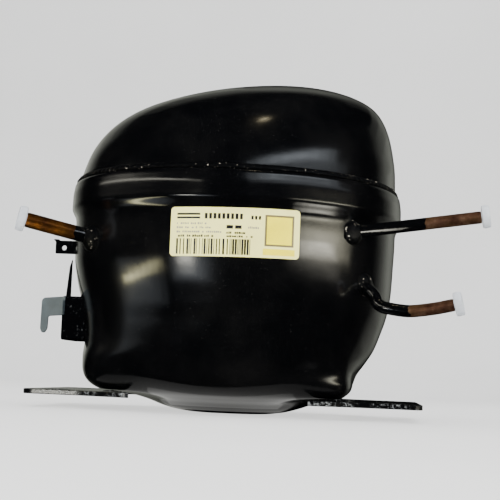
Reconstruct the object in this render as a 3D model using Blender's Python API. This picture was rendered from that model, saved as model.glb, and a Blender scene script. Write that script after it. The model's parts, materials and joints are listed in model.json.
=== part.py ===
"""Hermetic reciprocating compressor: welded steel shell, sprung motor and a Scotch-yoke pump.

Dimensions are written in millimetres and every mesh is stored in metres.
The shell's belly rests on z = 0, the crankshaft turns on the Z axis, and the
nameplate side faces -Y.
"""
import math

import bmesh
import bpy
from mathutils import Vector

MM = 0.001
GAP = 0.3                 # clearance left between neighbouring pieces

# Shell
WALL = 3.0
SHELL_SEGMENTS = 40
SHELL_POWER = 2.1         # exponent of the superellipse that every level follows
RIM_INNER = 84.1          # half width inside the lower shell's rim
RIM_TOP = 115.6
RIM_STEP = 101.2          # ledge inside the rim, just below the dome's skirt
INNER_FROM = 99.0         # below this height the wall has an even thickness
DEPTH_RATIO = 1.0898      # the shell's depth (Y) over its width (X)
SKIRT_HALF = 83.7
SKIRT_DEPTH = 91.3
SKIRT_BOTTOM = 102.2
FOOT_ANGLE = math.radians(37.57)
FOOT_SPREAD = math.radians(15.0)

# Mounting plates
PLATE_BOTTOM = 6.5
PLATE_THICKNESS = 2.5
PLATE_OUTER = 99.6
PLATE_HALF_DEPTH = 50.0
HOLE_PITCH_X = 170.0
HOLE_PITCH_Y = 70.0
GROMMET_HOLE_RADIUS = 8.0

# Tubes
TUBE_WALL = 0.8
SUCTION_RADIUS = 3.75
PROCESS_RADIUS = 3.0
DISCHARGE_RADIUS = 3.05

# Electrical terminal on the -X side
TERMINAL_Z = 46.1
TERMINAL_RADIUS = 9.7
TERMINAL_LIP_RADIUS = 8.4
TERMINAL_CUP_X = -79.4
PIN_START_X = -86.6
PIN_LENGTH = 16.4
PIN_RADIUS = 1.15
PIN_CIRCLE = 5.5
FENCE_OUTER_X = -88.6
FENCE_HALF_WIDTH = 19.0
FENCE_BOTTOM = 34.5
FENCE_TOP = 57.6
FENCE_WALL = 1.5

# Motor
MOTOR_SEGMENTS = 32
STATOR_HALF = 52.0
STATOR_BOTTOM = 45.6
STATOR_TOP = 84.0
STATOR_BORE = 30.0
STATOR_SLOT_DEPTH = 11.0
STATOR_SLOTS = 12
CORNER = 42.0             # springs and stator bolts stand at (+-42, +-42)
ROTOR_RADIUS = 29.2
ROTOR_BOTTOM = 43.0
ROTOR_TOP = 87.0
WINDING_INNER = 32.0
WINDING_OUTER = 45.0
WINDING_HEIGHT = 12.0

# Pump
CYLINDER_Z = 120.0
CRANK_THROW = 9.0
SHAFT_RADIUS = 8.0
SHAFT_BORE = 8.15
SHAFT_BOTTOM = 40.0
PIN_TOP = 130.0
CRANK_PIN_RADIUS = 7.0
CRANK_PIN_BOTTOM = 109.0
SHAFT_LENGTH = 69.0
DECK_BOTTOM = 99.0
DECK_TOP = 106.0
CYLINDER_START = 25.5
CYLINDER_END = 56.0
CYLINDER_OUTER = 17.0
CYLINDER_BORE = 11.15
PISTON_RADIUS = 11.0
PISTON_CROWN = 46.6
FLANGE_HALF_X = 21.0
FLANGE_HALF_Z = 15.5
BOLT_X = 17.2
BOLT_Z = 11.8
BOLT_HEAD_RADIUS = 3.7
BOLT_HEAD_HEIGHT = 2.6
BOLT_START = 47.6
BOLT_SHANK_LENGTH = 26.0
HEAD_THICKNESS = 11.8
CHAMBER_DEPTH = 7.8
COUNTERWEIGHT_RADIUS = 21.0
WEB_BOTTOM = DECK_TOP + 0.5
WEB_TOP = 111.2


# ---------------------------------------------------------------- helpers

def clear_scene():
    for item in list(bpy.data.objects):
        bpy.data.objects.remove(item, do_unlink=True)


def material(name, colour, roughness, metallic):
    made = bpy.data.materials.new(name)
    made.use_nodes = True
    shader = made.node_tree.nodes["Principled BSDF"]
    shader.inputs["Base Color"].default_value = (*colour, 1.0)
    shader.inputs["Roughness"].default_value = roughness
    shader.inputs["Metallic"].default_value = metallic
    made.diffuse_color = (*colour, 1.0)
    return made


def mesh_object(name, vertices, faces, look, smooth=True, origin=(0.0, 0.0, 0.0)):
    """A closed mesh from millimetre vertices, with its origin at a point in millimetres."""
    centre = Vector(origin)
    mesh = bpy.data.meshes.new(name)
    mesh.from_pydata([(Vector(v) - centre) * MM for v in vertices], [], faces)
    shape = bmesh.new()
    shape.from_mesh(mesh)
    bmesh.ops.recalc_face_normals(shape, faces=shape.faces)
    shape.to_mesh(mesh)
    shape.free()
    if smooth:
        mesh.shade_smooth()
        mesh.set_sharp_from_angle(angle=math.radians(35.0))
    if look is not None:
        mesh.materials.append(look)
    made = bpy.data.objects.new(name, mesh)
    made.location = centre * MM
    bpy.context.scene.collection.objects.link(made)
    return made


def as_cutter(tool):
    tool.hide_render = True
    tool.display_type = "WIRE"
    return tool


def boolean(target, tool, operation):
    step = target.modifiers.new(operation.lower() + "_" + tool.name, "BOOLEAN")
    step.object = as_cutter(tool)
    step.operation = operation
    step.solver = "EXACT"


def cut(target, *tools):
    for tool in tools:
        boolean(target, tool, "DIFFERENCE")


def join(target, *tools):
    for tool in tools:
        boolean(target, tool, "UNION")


def skin(rings, closed):
    """Vertices and faces over rings of equal length; closed joins the last ring to the first."""
    count = len(rings[0])
    vertices = [point for ring in rings for point in ring]
    faces = []
    pairs = len(rings) if closed else len(rings) - 1
    for level in range(pairs):
        here = level * count
        there = ((level + 1) % len(rings)) * count
        for k in range(count):
            nxt = (k + 1) % count
            faces.append((here + k, here + nxt, there + nxt, there + k))
    if not closed:
        faces.append(tuple(range(count)))
        faces.append(tuple(range(len(vertices) - 1, len(vertices) - 1 - count, -1)))
    return vertices, faces


def frame_along(axis):
    """A rotation that takes +Z to the given direction."""
    return Vector((0.0, 0.0, 1.0)).rotation_difference(Vector(axis).normalized()).to_matrix()


def circle(centre, radius, axis, segments):
    turn = frame_along(axis)
    ring = []
    for k in range(segments):
        angle = 2.0 * math.pi * k / segments
        ring.append(Vector(centre) + turn @ Vector((radius * math.cos(angle), radius * math.sin(angle), 0.0)))
    return ring


def lathe(name, profile, centre, axis, look, segments=24, closed=False, origin=None):
    """A solid of revolution from (radius, height along the axis) points."""
    direction = Vector(axis).normalized()
    rings = [circle(Vector(centre) + direction * height, radius, axis, segments) for radius, height in profile]
    vertices, faces = skin(rings, closed)
    return mesh_object(name, vertices, faces, look, origin=origin or (0.0, 0.0, 0.0))


def cylinder(name, centre, radius, length, axis, look, segments=24, origin=None):
    return lathe(name, [(radius, 0.0), (radius, length)], centre, axis, look, segments, origin=origin)


def prism(name, outline, to_point, low, high, look, smooth=False, origin=None):
    """A flat outline (u, v) swept between two levels w; to_point maps (u, v, w) to x, y, z."""
    rings = [[to_point(u, v, level) for u, v in outline] for level in (low, high)]
    vertices, faces = skin(rings, False)
    return mesh_object(name, vertices, faces, look, smooth, origin=origin or (0.0, 0.0, 0.0))


def upright(u, v, w):
    return Vector((u, v, w))


def facing_y(u, v, w):
    return Vector((u, w, v))


def box(name, low, high, look, bevel=0.0, origin=None):
    outline = [(low[0], low[1]), (high[0], low[1]), (high[0], high[1]), (low[0], high[1])]
    made = prism(name, outline, upright, low[2], high[2], look, origin=origin)
    if bevel > 0.0:
        edge = made.modifiers.new("bevel", "BEVEL")
        edge.width = bevel * MM
        edge.segments = 2
    return made


def rounded(outline, radius, steps=4):
    """Rounds each corner of a convex or concave outline with a quadratic arc."""
    result = []
    count = len(outline)
    for k in range(count):
        corner = Vector(outline[k])
        before = (Vector(outline[k - 1]) - corner)
        after = (Vector(outline[(k + 1) % count]) - corner)
        reach = min(radius, before.length * 0.45, after.length * 0.45)
        start = corner + before.normalized() * reach
        end = corner + after.normalized() * reach
        for step in range(steps + 1):
            t = step / steps
            point = start * (1 - t) ** 2 + corner * 2 * t * (1 - t) + end * t ** 2
            result.append((point.x, point.y))
    return result


def smooth_path(points, per_span):
    """Catmull-Rom samples through the given points."""
    knots = [Vector(p) for p in points]
    ends = [knots[0] * 2 - knots[1]] + knots + [knots[-1] * 2 - knots[-2]]
    result = []
    for span in range(len(knots) - 1):
        a, b, c, d = ends[span:span + 4]
        for step in range(per_span):
            t = step / per_span
            part = (b * 2) + (c - a) * t + (a * 2 - b * 5 + c * 4 - d) * t * t
            part += (b * 3 - a - c * 3 + d) * t ** 3
            result.append(part * 0.5)
    result.append(knots[-1])
    return result


def path_rings(path, radius, sides):
    """Circles carried along a path without twist."""
    rings = []
    side = None
    for k, point in enumerate(path):
        tangent = (path[min(k + 1, len(path) - 1)] - path[max(k - 1, 0)]).normalized()
        if side is None:
            side = tangent.orthogonal().normalized()
        side = (side - tangent * side.dot(tangent)).normalized()
        up = tangent.cross(side)
        ring = []
        for n in range(sides):
            angle = 2.0 * math.pi * n / sides
            ring.append(point + side * (radius * math.cos(angle)) + up * (radius * math.sin(angle)))
        rings.append(ring)
    return rings


def rod(name, path, radius, sides, look):
    vertices, faces = skin(path_rings(path, radius, sides), False)
    return mesh_object(name, vertices, faces, look)


def tube(name, path, radius, wall, sides, look):
    """A hollow tube open at both ends."""
    outer = path_rings(path, radius, sides)
    inner = path_rings(path, radius - wall, sides)
    vertices, faces = skin(outer + inner[::-1], True)
    return mesh_object(name, vertices, faces, look)


# ------------------------------------------------------------------ shell

# Levels of the lower shell's outside, from the rim down to the belly:
# height, half widths to -X and +X, outward push of the four pressed feet,
# height of the same level on a foot.
LOWER_LEVELS = [
    (115.6, 85.1, 85.1, 0.0, 115.6),
    (113.7, 86.3, 86.3, 0.0, 113.7),
    (110.2, 87.1, 87.1, 0.0, 110.2),
    (107.2, 87.5, 87.5, 0.0, 107.2),
    (103.2, 87.5, 87.5, 0.0, 103.2),
    (100.2, 86.7, 86.7, 0.0, 100.2),
    (97.7, 85.4, 85.4, 0.0, 97.7),
    (93.2, 84.7, 84.1, 0.0, 93.2),
    (78.0, 84.6, 83.7, 0.0, 78.0),
    (66.0, 82.6, 83.1, 0.0, 66.0),
    (54.0, 79.6, 81.3, 0.0, 54.0),
    (44.0, 77.7, 78.2, 0.3, 44.0),
    (35.0, 77.0, 74.7, 1.0, 35.0),
    (28.0, 77.4, 70.3, 2.8, 28.0),
    (22.0, 75.7, 66.2, 6.0, 21.5),
    (17.0, 71.9, 64.4, 9.0, 16.5),
    (12.8, 65.5, 60.9, 11.5, 12.4),
    (10.0, 59.0, 56.5, 12.5, 10.2),
    (7.6, 50.0, 50.0, 9.5, 9.9),
    (5.6, 43.0, 43.0, 3.0, 7.6),
    (3.0, 35.5, 35.5, 0.0, 3.0),
    (1.0, 27.5, 27.5, 0.0, 1.0),
    (0.0, 20.0, 20.0, 0.0, 0.0),
]

# Levels of the dome's outside: height, half widths to -X and +X, half depth.
DOME_LEVELS = [
    (SKIRT_BOTTOM, SKIRT_HALF, SKIRT_HALF, SKIRT_DEPTH),
    (116.2, SKIRT_HALF, SKIRT_HALF, SKIRT_DEPTH),
    (121.2, 82.4, 83.6, 90.4),
    (129.4, 79.8, 83.3, 87.8),
    (136.5, 76.3, 82.3, 84.2),
    (146.6, 67.8, 80.2, 77.0),
    (154.7, 56.0, 77.1, 67.9),
    (160.7, 41.2, 72.9, 57.9),
    (166.2, 22.7, 64.0, 43.2),
    (170.3, 2.2, 51.0, 26.6),
    (172.3, -11.8, 40.5, 13.3),
    (172.9, -21.8, 30.5, 3.8),
]


def superellipse(minus_x, plus_x, half_y, angle):
    """A point of the level outline; the outline's centre is midway between its two X ends."""
    centre = (plus_x - minus_x) / 2.0
    half_x = (plus_x + minus_x) / 2.0
    c = math.cos(angle)
    s = math.sin(angle)
    power = 2.0 / SHELL_POWER
    x = centre + half_x * math.copysign(abs(c) ** power, c)
    y = half_y * math.copysign(abs(s) ** power, s)
    return x, y


def foot_weight(x, y):
    """1 on the middle of a pressed foot, falling smoothly to 0 away from it."""
    offset = abs(math.atan2(abs(y), abs(x)) - FOOT_ANGLE) / FOOT_SPREAD
    return math.exp(-offset * offset)


def lower_half_depth(minus_x, plus_x):
    return (minus_x + plus_x) / 2.0 * DEPTH_RATIO


def lower_ring(level):
    """One level of the lower shell, with its four pressed feet."""
    height, minus_x, plus_x, push, foot_height = level
    half_y = lower_half_depth(minus_x, plus_x)
    ring = []
    for k in range(SHELL_SEGMENTS):
        angle = 2.0 * math.pi * k / SHELL_SEGMENTS
        x, y = superellipse(minus_x, plus_x, half_y, angle)
        weight = foot_weight(x, y)
        reach = math.hypot(x, y)
        scale = (reach + push * weight) / reach
        z = height + (foot_height - height) * weight
        ring.append(Vector((x * scale, y * scale, z)))
    return ring


def dome_ring(level):
    height, minus_x, plus_x, half_y = level
    ring = []
    for k in range(SHELL_SEGMENTS):
        angle = 2.0 * math.pi * k / SHELL_SEGMENTS
        x, y = superellipse(minus_x, plus_x, half_y, angle)
        ring.append(Vector((x, y, height)))
    return ring


def profile_normals(levels):
    """Outward normals (sideways, upwards) of a profile given from its rim to its pole."""
    points = [((level[1] + level[2]) / 2.0, level[0]) for level in levels]
    normals = []
    for k in range(len(points)):
        before = points[max(k - 1, 0)]
        after = points[min(k + 1, len(points) - 1)]
        run = (after[0] - before[0], after[1] - before[1])
        length = math.hypot(*run)
        rises = 1.0 if levels[-1][0] > levels[0][0] else -1.0
        normals.append((run[1] / length * rises, -run[0] / length * rises))
    return normals


def offset_levels(levels, distance):
    """The same levels moved along their profile's normal; negative is inwards."""
    moved = []
    for level, (side, up) in zip(levels, profile_normals(levels)):
        changed = list(level)
        changed[0] += up * distance
        changed[1] += side * distance
        changed[2] += side * distance
        if len(level) == 5:
            changed[4] += up * distance
        else:
            changed[3] += side * distance
        moved.append(tuple(changed))
    return moved


def shell_envelope(name, grow):
    """The lower shell's outside as one solid, a little larger: it trims what stands on the shell."""
    rings = [lower_ring(level) for level in offset_levels(LOWER_LEVELS, grow)]
    vertices, faces = skin(rings, False)
    return as_cutter(mesh_object(name, vertices, faces, None))


def build_lower_shell(look):
    outer = [lower_ring(level) for level in LOWER_LEVELS]
    rim = [(RIM_TOP, RIM_INNER, RIM_INNER, 0.0, RIM_TOP), (RIM_STEP, RIM_INNER, RIM_INNER, 0.0, RIM_STEP)]
    below_step = [level for level in LOWER_LEVELS if level[0] < INNER_FROM][::2]
    inner = [lower_ring(level) for level in rim + offset_levels(below_step, -WALL)]
    vertices, faces = skin(inner[::-1] + outer, False)
    return mesh_object("lower_shell", vertices, faces, look)


def build_upper_shell(look):
    outer = [dome_ring(level) for level in DOME_LEVELS]
    crown = DOME_LEVELS[1:]
    skirt_inside = (SKIRT_BOTTOM, SKIRT_HALF - WALL, SKIRT_HALF - WALL, SKIRT_DEPTH - WALL)
    inner = [dome_ring(level) for level in [skirt_inside] + offset_levels(crown, -WALL)]
    vertices, faces = skin(inner[::-1] + outer, False)
    return mesh_object("upper_shell", vertices, faces, look)


def build_seam_weld(look):
    """The weld bead in the corner between the rim's lip and the dome."""
    section = [(0.35, 115.95), (2.0, 115.95), (2.3, 117.0), (1.4, 118.2), (0.35, 118.4)]
    rings = []
    for extra, height in section:
        half = SKIRT_HALF + extra
        rings.append(dome_ring((height, half, half, SKIRT_DEPTH + extra)))
    vertices, faces = skin(rings, True)
    return mesh_object("seam_weld", vertices, faces, look)


# Plan of one mounting plate (the +X one), walking round its edge.
PLATE_OUTLINE = [
    (PLATE_OUTER, -PLATE_HALF_DEPTH), (PLATE_OUTER, PLATE_HALF_DEPTH), (70.0, PLATE_HALF_DEPTH), (42.0, 59.0),
    (48.0, 48.0), (63.0, 31.0), (66.0, 0.0), (63.0, -31.0), (48.0, -48.0), (42.0, -59.0),
    (70.0, -PLATE_HALF_DEPTH),
]


def build_mounting_plate(name, side, look):
    outline = [(x * side, y) for x, y in rounded(PLATE_OUTLINE, 6.0, 3)]
    top = PLATE_BOTTOM + PLATE_THICKNESS
    plate = prism(name, outline, upright, PLATE_BOTTOM, top, look)
    for sign in (-1.0, 1.0):
        centre = (side * HOLE_PITCH_X / 2.0, sign * HOLE_PITCH_Y / 2.0, PLATE_BOTTOM - 2.0)
        label = name + ("_hole_back" if sign > 0 else "_hole_front")
        cut(plate, cylinder(label, centre, GROMMET_HOLE_RADIUS, PLATE_THICKNESS + 4.0, (0, 0, 1), None, 32))
    return plate


# Tube routes, from inside the shell outwards.
SUCTION_ENTRY = Vector((-66.3, -59.6, 84.7))
SUCTION_DIRECTION = Vector((-29.8, -10.9, 6.4)).normalized()
SUCTION_REACH = 32.4
PROCESS_ENTRY = Vector((63.7, -62.1, 90.9))
PROCESS_DIRECTION = Vector((60.0, -4.2, 8.5)).normalized()
PROCESS_REACH = 60.7
DISCHARGE_ROUTE = [
    (62.0, -42.0, 69.0), (67.5, -50.5, 66.5), (71.5, -55.5, 63.6), (74.6, -57.5, 60.2), (75.8, -59.0, 57.2),
    (78.5, -60.5, 55.3), (81.9, -61.5, 54.6), (86.3, -62.0, 54.0), (91.2, -62.5, 53.7), (96.9, -63.0, 54.3),
    (104.1, -64.0, 55.5), (112.0, -65.0, 57.3),
]
INSIDE_STUB = 9.0


def straight_path(entry, direction, reach, steps):
    start = entry - direction * INSIDE_STUB
    end = entry + direction * reach
    return [start.lerp(end, k / steps) for k in range(steps + 1)]


def build_tube_set(name, path, radius, weld_at, weld_axis, shell, copper, weld_look, trimmer):
    """A tube through the shell wall, its hole and the weld collar round it."""
    made = tube(name + "_tube", path, radius, TUBE_WALL, 12, copper)
    hole = rod(name + "_hole", path[:len(path) * 2 // 3], radius + GAP, 12, None)
    cut(shell, hole)
    inner = radius + 0.75
    profile = [(inner, -5.0), (inner + 2.6, -5.0), (inner + 2.6, 0.9), (inner + 0.5, 2.6), (inner, 2.6)]
    collar = lathe(name + "_weld", profile, weld_at, weld_axis, weld_look, 20, closed=True)
    cut(collar, trimmer)
    return made


def build_cap(name, end, direction, tube_radius, flange_radius, depth, plastic):
    """A push-in plug with a recessed flange that closes a tube's open end."""
    plug = tube_radius - TUBE_WALL - 0.35
    profile = [
        (plug * 0.8, -7.0), (plug, -6.0), (plug, GAP), (flange_radius * 0.94, GAP), (flange_radius, GAP + 0.6),
        (flange_radius, GAP + depth), (flange_radius - 1.3, GAP + depth), (flange_radius - 1.6, GAP + 1.2),
    ]
    return lathe(name, profile, end, direction, plastic, 18, origin=tuple(end))


# Nameplate on the front of the lower shell
LABEL_CENTRE_X = 8.5
LABEL_HALF_WIDTH = 30.0
LABEL_BOTTOM = 74.3
LABEL_TOP = 97.2
LABEL_TILT = 0.4          # how far its right end stands higher than its middle
LABEL_FOLDS = (78.0, 85.0, 93.2)    # heights where the sheet follows a bend of the shell
LABEL_COLUMNS = 14
LABEL_THICKNESS = 0.4


def shell_half_widths(z):
    """Half widths of the lower shell's outside at a height, between two of its levels."""
    for upper, lower in zip(LOWER_LEVELS, LOWER_LEVELS[1:]):
        if lower[0] <= z <= upper[0]:
            t = (z - lower[0]) / (upper[0] - lower[0])
            return [lower[k] + (upper[k] - lower[k]) * t for k in (1, 2)]
    return [LOWER_LEVELS[-1][1], LOWER_LEVELS[-1][2]]


def shell_front_y(x, z, grow):
    minus_x, plus_x = shell_half_widths(z)
    half_y = lower_half_depth(minus_x, plus_x) + grow
    centre = (plus_x - minus_x) / 2.0
    half_x = (plus_x + minus_x) / 2.0 + grow
    return -half_y * (1.0 - (abs(x - centre) / half_x) ** SHELL_POWER) ** (1.0 / SHELL_POWER)


def build_nameplate(look):
    rings = []
    for k in range(LABEL_COLUMNS + 1):
        across = 2.0 * k / LABEL_COLUMNS - 1.0
        x = LABEL_CENTRE_X + LABEL_HALF_WIDTH * across
        rise = LABEL_TILT * across
        heights = [LABEL_BOTTOM + rise, *LABEL_FOLDS, LABEL_TOP + rise]
        front = [Vector((x, shell_front_y(x, z, GAP + LABEL_THICKNESS), z)) for z in heights]
        back = [Vector((x, shell_front_y(x, z, GAP), z)) for z in heights[::-1]]
        rings.append(front + back)
    vertices, faces = skin(rings, False)
    return mesh_object("nameplate", vertices, faces, look, False)


# --------------------------------------------------------------- terminal

def build_terminal(shell, steel, pin_look, fence_look, trimmer):
    shell_hole = cylinder("terminal_hole", (-90.0, 0.0, TERMINAL_Z), TERMINAL_RADIUS + GAP, 25.0, (1, 0, 0), None, 32)
    cut(shell, shell_hole)
    lip = TERMINAL_LIP_RADIUS
    profile = [(lip, 3.4), (lip, 0.0), (TERMINAL_RADIUS, 0.0), (TERMINAL_RADIUS, 6.0)]
    cup = lathe("terminal_cup", profile, (TERMINAL_CUP_X, 0.0, TERMINAL_Z), (1, 0, 0), steel, 32)
    for number in range(3):
        angle = math.radians(90.0 + 120.0 * number)
        y = PIN_CIRCLE * math.cos(angle)
        z = TERMINAL_Z + PIN_CIRCLE * math.sin(angle)
        label = f"terminal_pin_{number + 1}"
        cylinder(label, (PIN_START_X, y, z), PIN_RADIUS, PIN_LENGTH, (1, 0, 0), pin_look, 12)
        cut(cup, cylinder(label + "_hole", (-84.0, y, z), PIN_RADIUS + GAP, 14.0, (1, 0, 0), None, 12))

    fence = box("terminal_fence", (FENCE_OUTER_X, -FENCE_HALF_WIDTH, FENCE_BOTTOM),
                (-70.0, FENCE_HALF_WIDTH, FENCE_TOP), fence_look)
    inside = box("fence_inside", (FENCE_OUTER_X - 5.0, -FENCE_HALF_WIDTH + FENCE_WALL, FENCE_BOTTOM + FENCE_WALL),
                 (-65.0, FENCE_HALF_WIDTH - FENCE_WALL, FENCE_TOP - FENCE_WALL), None)
    hook_outline = [
        (-88.0, 57.3), (-98.5, 56.2), (-99.7, 54.9), (-99.9, 40.0), (-99.0, 37.9), (-97.3, 37.8), (-96.0, 40.0),
        (-95.8, 46.6), (-88.0, 47.4),
    ]
    blade_outline = [(-87.0, 56.5), (-85.7, 72.8), (-84.5, 76.9), (-84.5, 56.5)]
    near = -FENCE_HALF_WIDTH
    hook = prism("fence_hook", hook_outline, facing_y, near, near + FENCE_WALL, None)
    blade = prism("fence_blade", blade_outline, facing_y, near, near + FENCE_WALL, None)
    cut(fence, inside)
    join(fence, hook, blade)
    cut(fence, trimmer)


def build_ground_tab(look, trimmer):
    outline = [
        (-95.4, 80.2), (-95.4, 86.6), (-96.9, 87.9), (-93.8, 87.9), (-93.2, 87.2), (-78.0, 87.2), (-78.0, 80.2),
    ]
    tab = prism("ground_tab", outline, facing_y, -13.2, -12.0, look)
    hole = cylinder("ground_tab_hole", (-90.7, -16.0, 83.4), 1.3, 8.0, (0, 1, 0), None, 16)
    cut(tab, hole, trimmer)


# ----------------------------------------------------- sprung motor and pump

def corner_points():
    return [(CORNER, CORNER), (-CORNER, CORNER), (-CORNER, -CORNER), (CORNER, -CORNER)]


SEAT_BOTTOM = 14.6
SEAT_TOP = 17.2
SEAT_STUB_TOP = 24.0
SNUBBER_FLANGE = 37.8
SPRING_COILS = 4.5
SPRING_RADIUS = 7.4
SPRING_WIRE = 0.9


def coil(name, x, y, bottom, top, look):
    """A helical spring whose wire ends lie just inside the two seats."""
    low = bottom + SPRING_WIRE + GAP
    high = top - SPRING_WIRE - GAP
    steps = int(SPRING_COILS * 10)
    path = []
    for k in range(steps + 1):
        angle = 2.0 * math.pi * SPRING_COILS * k / steps
        height = low + (high - low) * k / steps
        path.append(Vector((x + SPRING_RADIUS * math.cos(angle), y + SPRING_RADIUS * math.sin(angle), height)))
    return rod(name, path, SPRING_WIRE, 5, look)


def build_suspension(seat_look, spring_look, snubber_look, bolt_look):
    for number, (x, y) in enumerate(corner_points(), start=1):
        base = (x, y, 0.0)
        seat = [(9.2, SEAT_BOTTOM), (9.2, SEAT_TOP), (5.8, SEAT_TOP), (5.2, SEAT_STUB_TOP)]
        lathe(f"spring_seat_{number}", seat, base, (0, 0, 1), seat_look, 16)
        coil(f"suspension_spring_{number}", x, y, SEAT_TOP, SNUBBER_FLANGE, spring_look)
        snubber = [
            (5.2, 29.0), (5.8, SNUBBER_FLANGE), (9.2, SNUBBER_FLANGE), (9.2, 40.2), (8.0, 40.2),
            (8.0, STATOR_BOTTOM - GAP), (6.0, STATOR_BOTTOM - GAP), (6.0, 41.0),
        ]
        lathe(f"spring_snubber_{number}", snubber, base, (0, 0, 1), snubber_look, 16)
        bolt = cylinder(f"stator_bolt_{number}", (x, y, 41.3), 5.0, 4.0, (0, 0, 1), bolt_look, 6)
        shank = cylinder(f"stator_bolt_{number}_shank", (x, y, 44.0), 2.5, 50.0, (0, 0, 1), None, 12)
        join(bolt, shank)


def build_stator(core_look, winding_look):
    low = [(-STATOR_HALF, -STATOR_HALF), (STATOR_HALF, -STATOR_HALF)]
    outline = rounded(low + [(x, -y) for x, y in low[::-1]], 7.0, 3)
    core = prism("stator_core", outline, upright, STATOR_BOTTOM, STATOR_TOP, core_look)
    pitch = 2.0 * math.pi / STATOR_SLOTS
    tooth = 0.30 * pitch
    mouth = 0.42 * pitch
    star = []
    for slot in range(STATOR_SLOTS):
        middle = slot * pitch
        deep = STATOR_BORE + STATOR_SLOT_DEPTH
        lip = STATOR_BORE + 1.6
        for radius, angle in (
            (STATOR_BORE, -mouth), (STATOR_BORE, -tooth * 0.25), (lip, -tooth * 0.25), (deep, -tooth),
            (deep, tooth), (lip, tooth * 0.25), (STATOR_BORE, tooth * 0.25), (STATOR_BORE, mouth),
        ):
            star.append((radius * math.cos(middle + angle), radius * math.sin(middle + angle)))
    cut(core, as_cutter(prism("stator_slots", star, upright, STATOR_BOTTOM - 5.0, STATOR_TOP + 5.0, None)))
    for number, (x, y) in enumerate(corner_points(), start=1):
        cut(core, cylinder(f"stator_hole_{number}", (x, y, 30.0), 2.9, 64.0, (0, 0, 1), None, 12))
    for name, base in (
        ("winding_lower", STATOR_BOTTOM - GAP - WINDING_HEIGHT), ("winding_upper", STATOR_TOP + GAP),
    ):
        section = [
            (WINDING_INNER, base + 2.0), (WINDING_INNER + 2.0, base), (WINDING_OUTER - 3.0, base),
            (WINDING_OUTER, base + 3.0), (WINDING_OUTER, base + WINDING_HEIGHT - 3.0),
            (WINDING_OUTER - 3.0, base + WINDING_HEIGHT), (WINDING_INNER + 2.0, base + WINDING_HEIGHT),
            (WINDING_INNER, base + WINDING_HEIGHT - 2.0),
        ]
        lathe(name, section, (0, 0, 0), (0, 0, 1), winding_look, 24, closed=True)


def build_cylinder_block(look):
    """Deck, four legs, main bearing, cylinder and head flange in one casting."""
    edge = STATOR_HALF
    inner = STATOR_HALF - 9.0
    outline = [
        (edge, -inner), (edge, inner), (inner, edge), (-inner, edge), (-edge, inner), (-edge, -inner),
        (-inner, -edge), (inner, -edge),
    ]
    block = prism("cylinder_block", outline, upright, DECK_BOTTOM, DECK_TOP, look)
    for number, (x, y) in enumerate(corner_points(), start=1):
        leg = cylinder(f"block_leg_{number}", (x, y, STATOR_TOP + GAP), 8.0, 18.0, (0, 0, 1), None, 20)
        join(block, leg)
    hub = cylinder("block_hub", (0, 0, 89.0), 13.5, 14.0, (0, 0, 1), None, 32)
    barrel = cylinder("block_barrel", (0, CYLINDER_START, CYLINDER_Z), CYLINDER_OUTER,
                      CYLINDER_END - CYLINDER_START - 4.0, (0, 1, 0), None, 32)
    saddle = box("block_saddle", (-14.0, CYLINDER_START + 0.5, DECK_TOP - 3.0), (14.0, 50.0, 112.0), None)
    flange = box("block_flange", (-FLANGE_HALF_X, CYLINDER_END - 10.0, CYLINDER_Z - FLANGE_HALF_Z),
                 (FLANGE_HALF_X, CYLINDER_END, CYLINDER_Z + FLANGE_HALF_Z), None)
    join(block, hub, barrel, saddle, flange)
    bore = cylinder("block_bore", (0, 10.0, CYLINDER_Z), CYLINDER_BORE, 60.0, (0, 1, 0), None, 32)
    bearing = cylinder("block_bearing", (0, 0, 80.0), SHAFT_BORE, 40.0, (0, 0, 1), None, 32)
    cut(block, bore, bearing)
    for number, (x, y) in enumerate(corner_points(), start=1):
        cut(block, cylinder(f"leg_hole_{number}", (x, y, 80.0), 2.9, 15.5, (0, 0, 1), None, 12))
    for number, (x, z) in enumerate(head_bolt_points(), start=1):
        cut(block, cylinder(f"flange_hole_{number}", (x, 47.0, z), 2.3, 20.0, (0, 1, 0), None, 12))
    return block


def head_bolt_points():
    return [(sx * BOLT_X, CYLINDER_Z + sz * BOLT_Z) for sx in (-1.0, 1.0) for sz in (-1.0, 1.0)]


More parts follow.
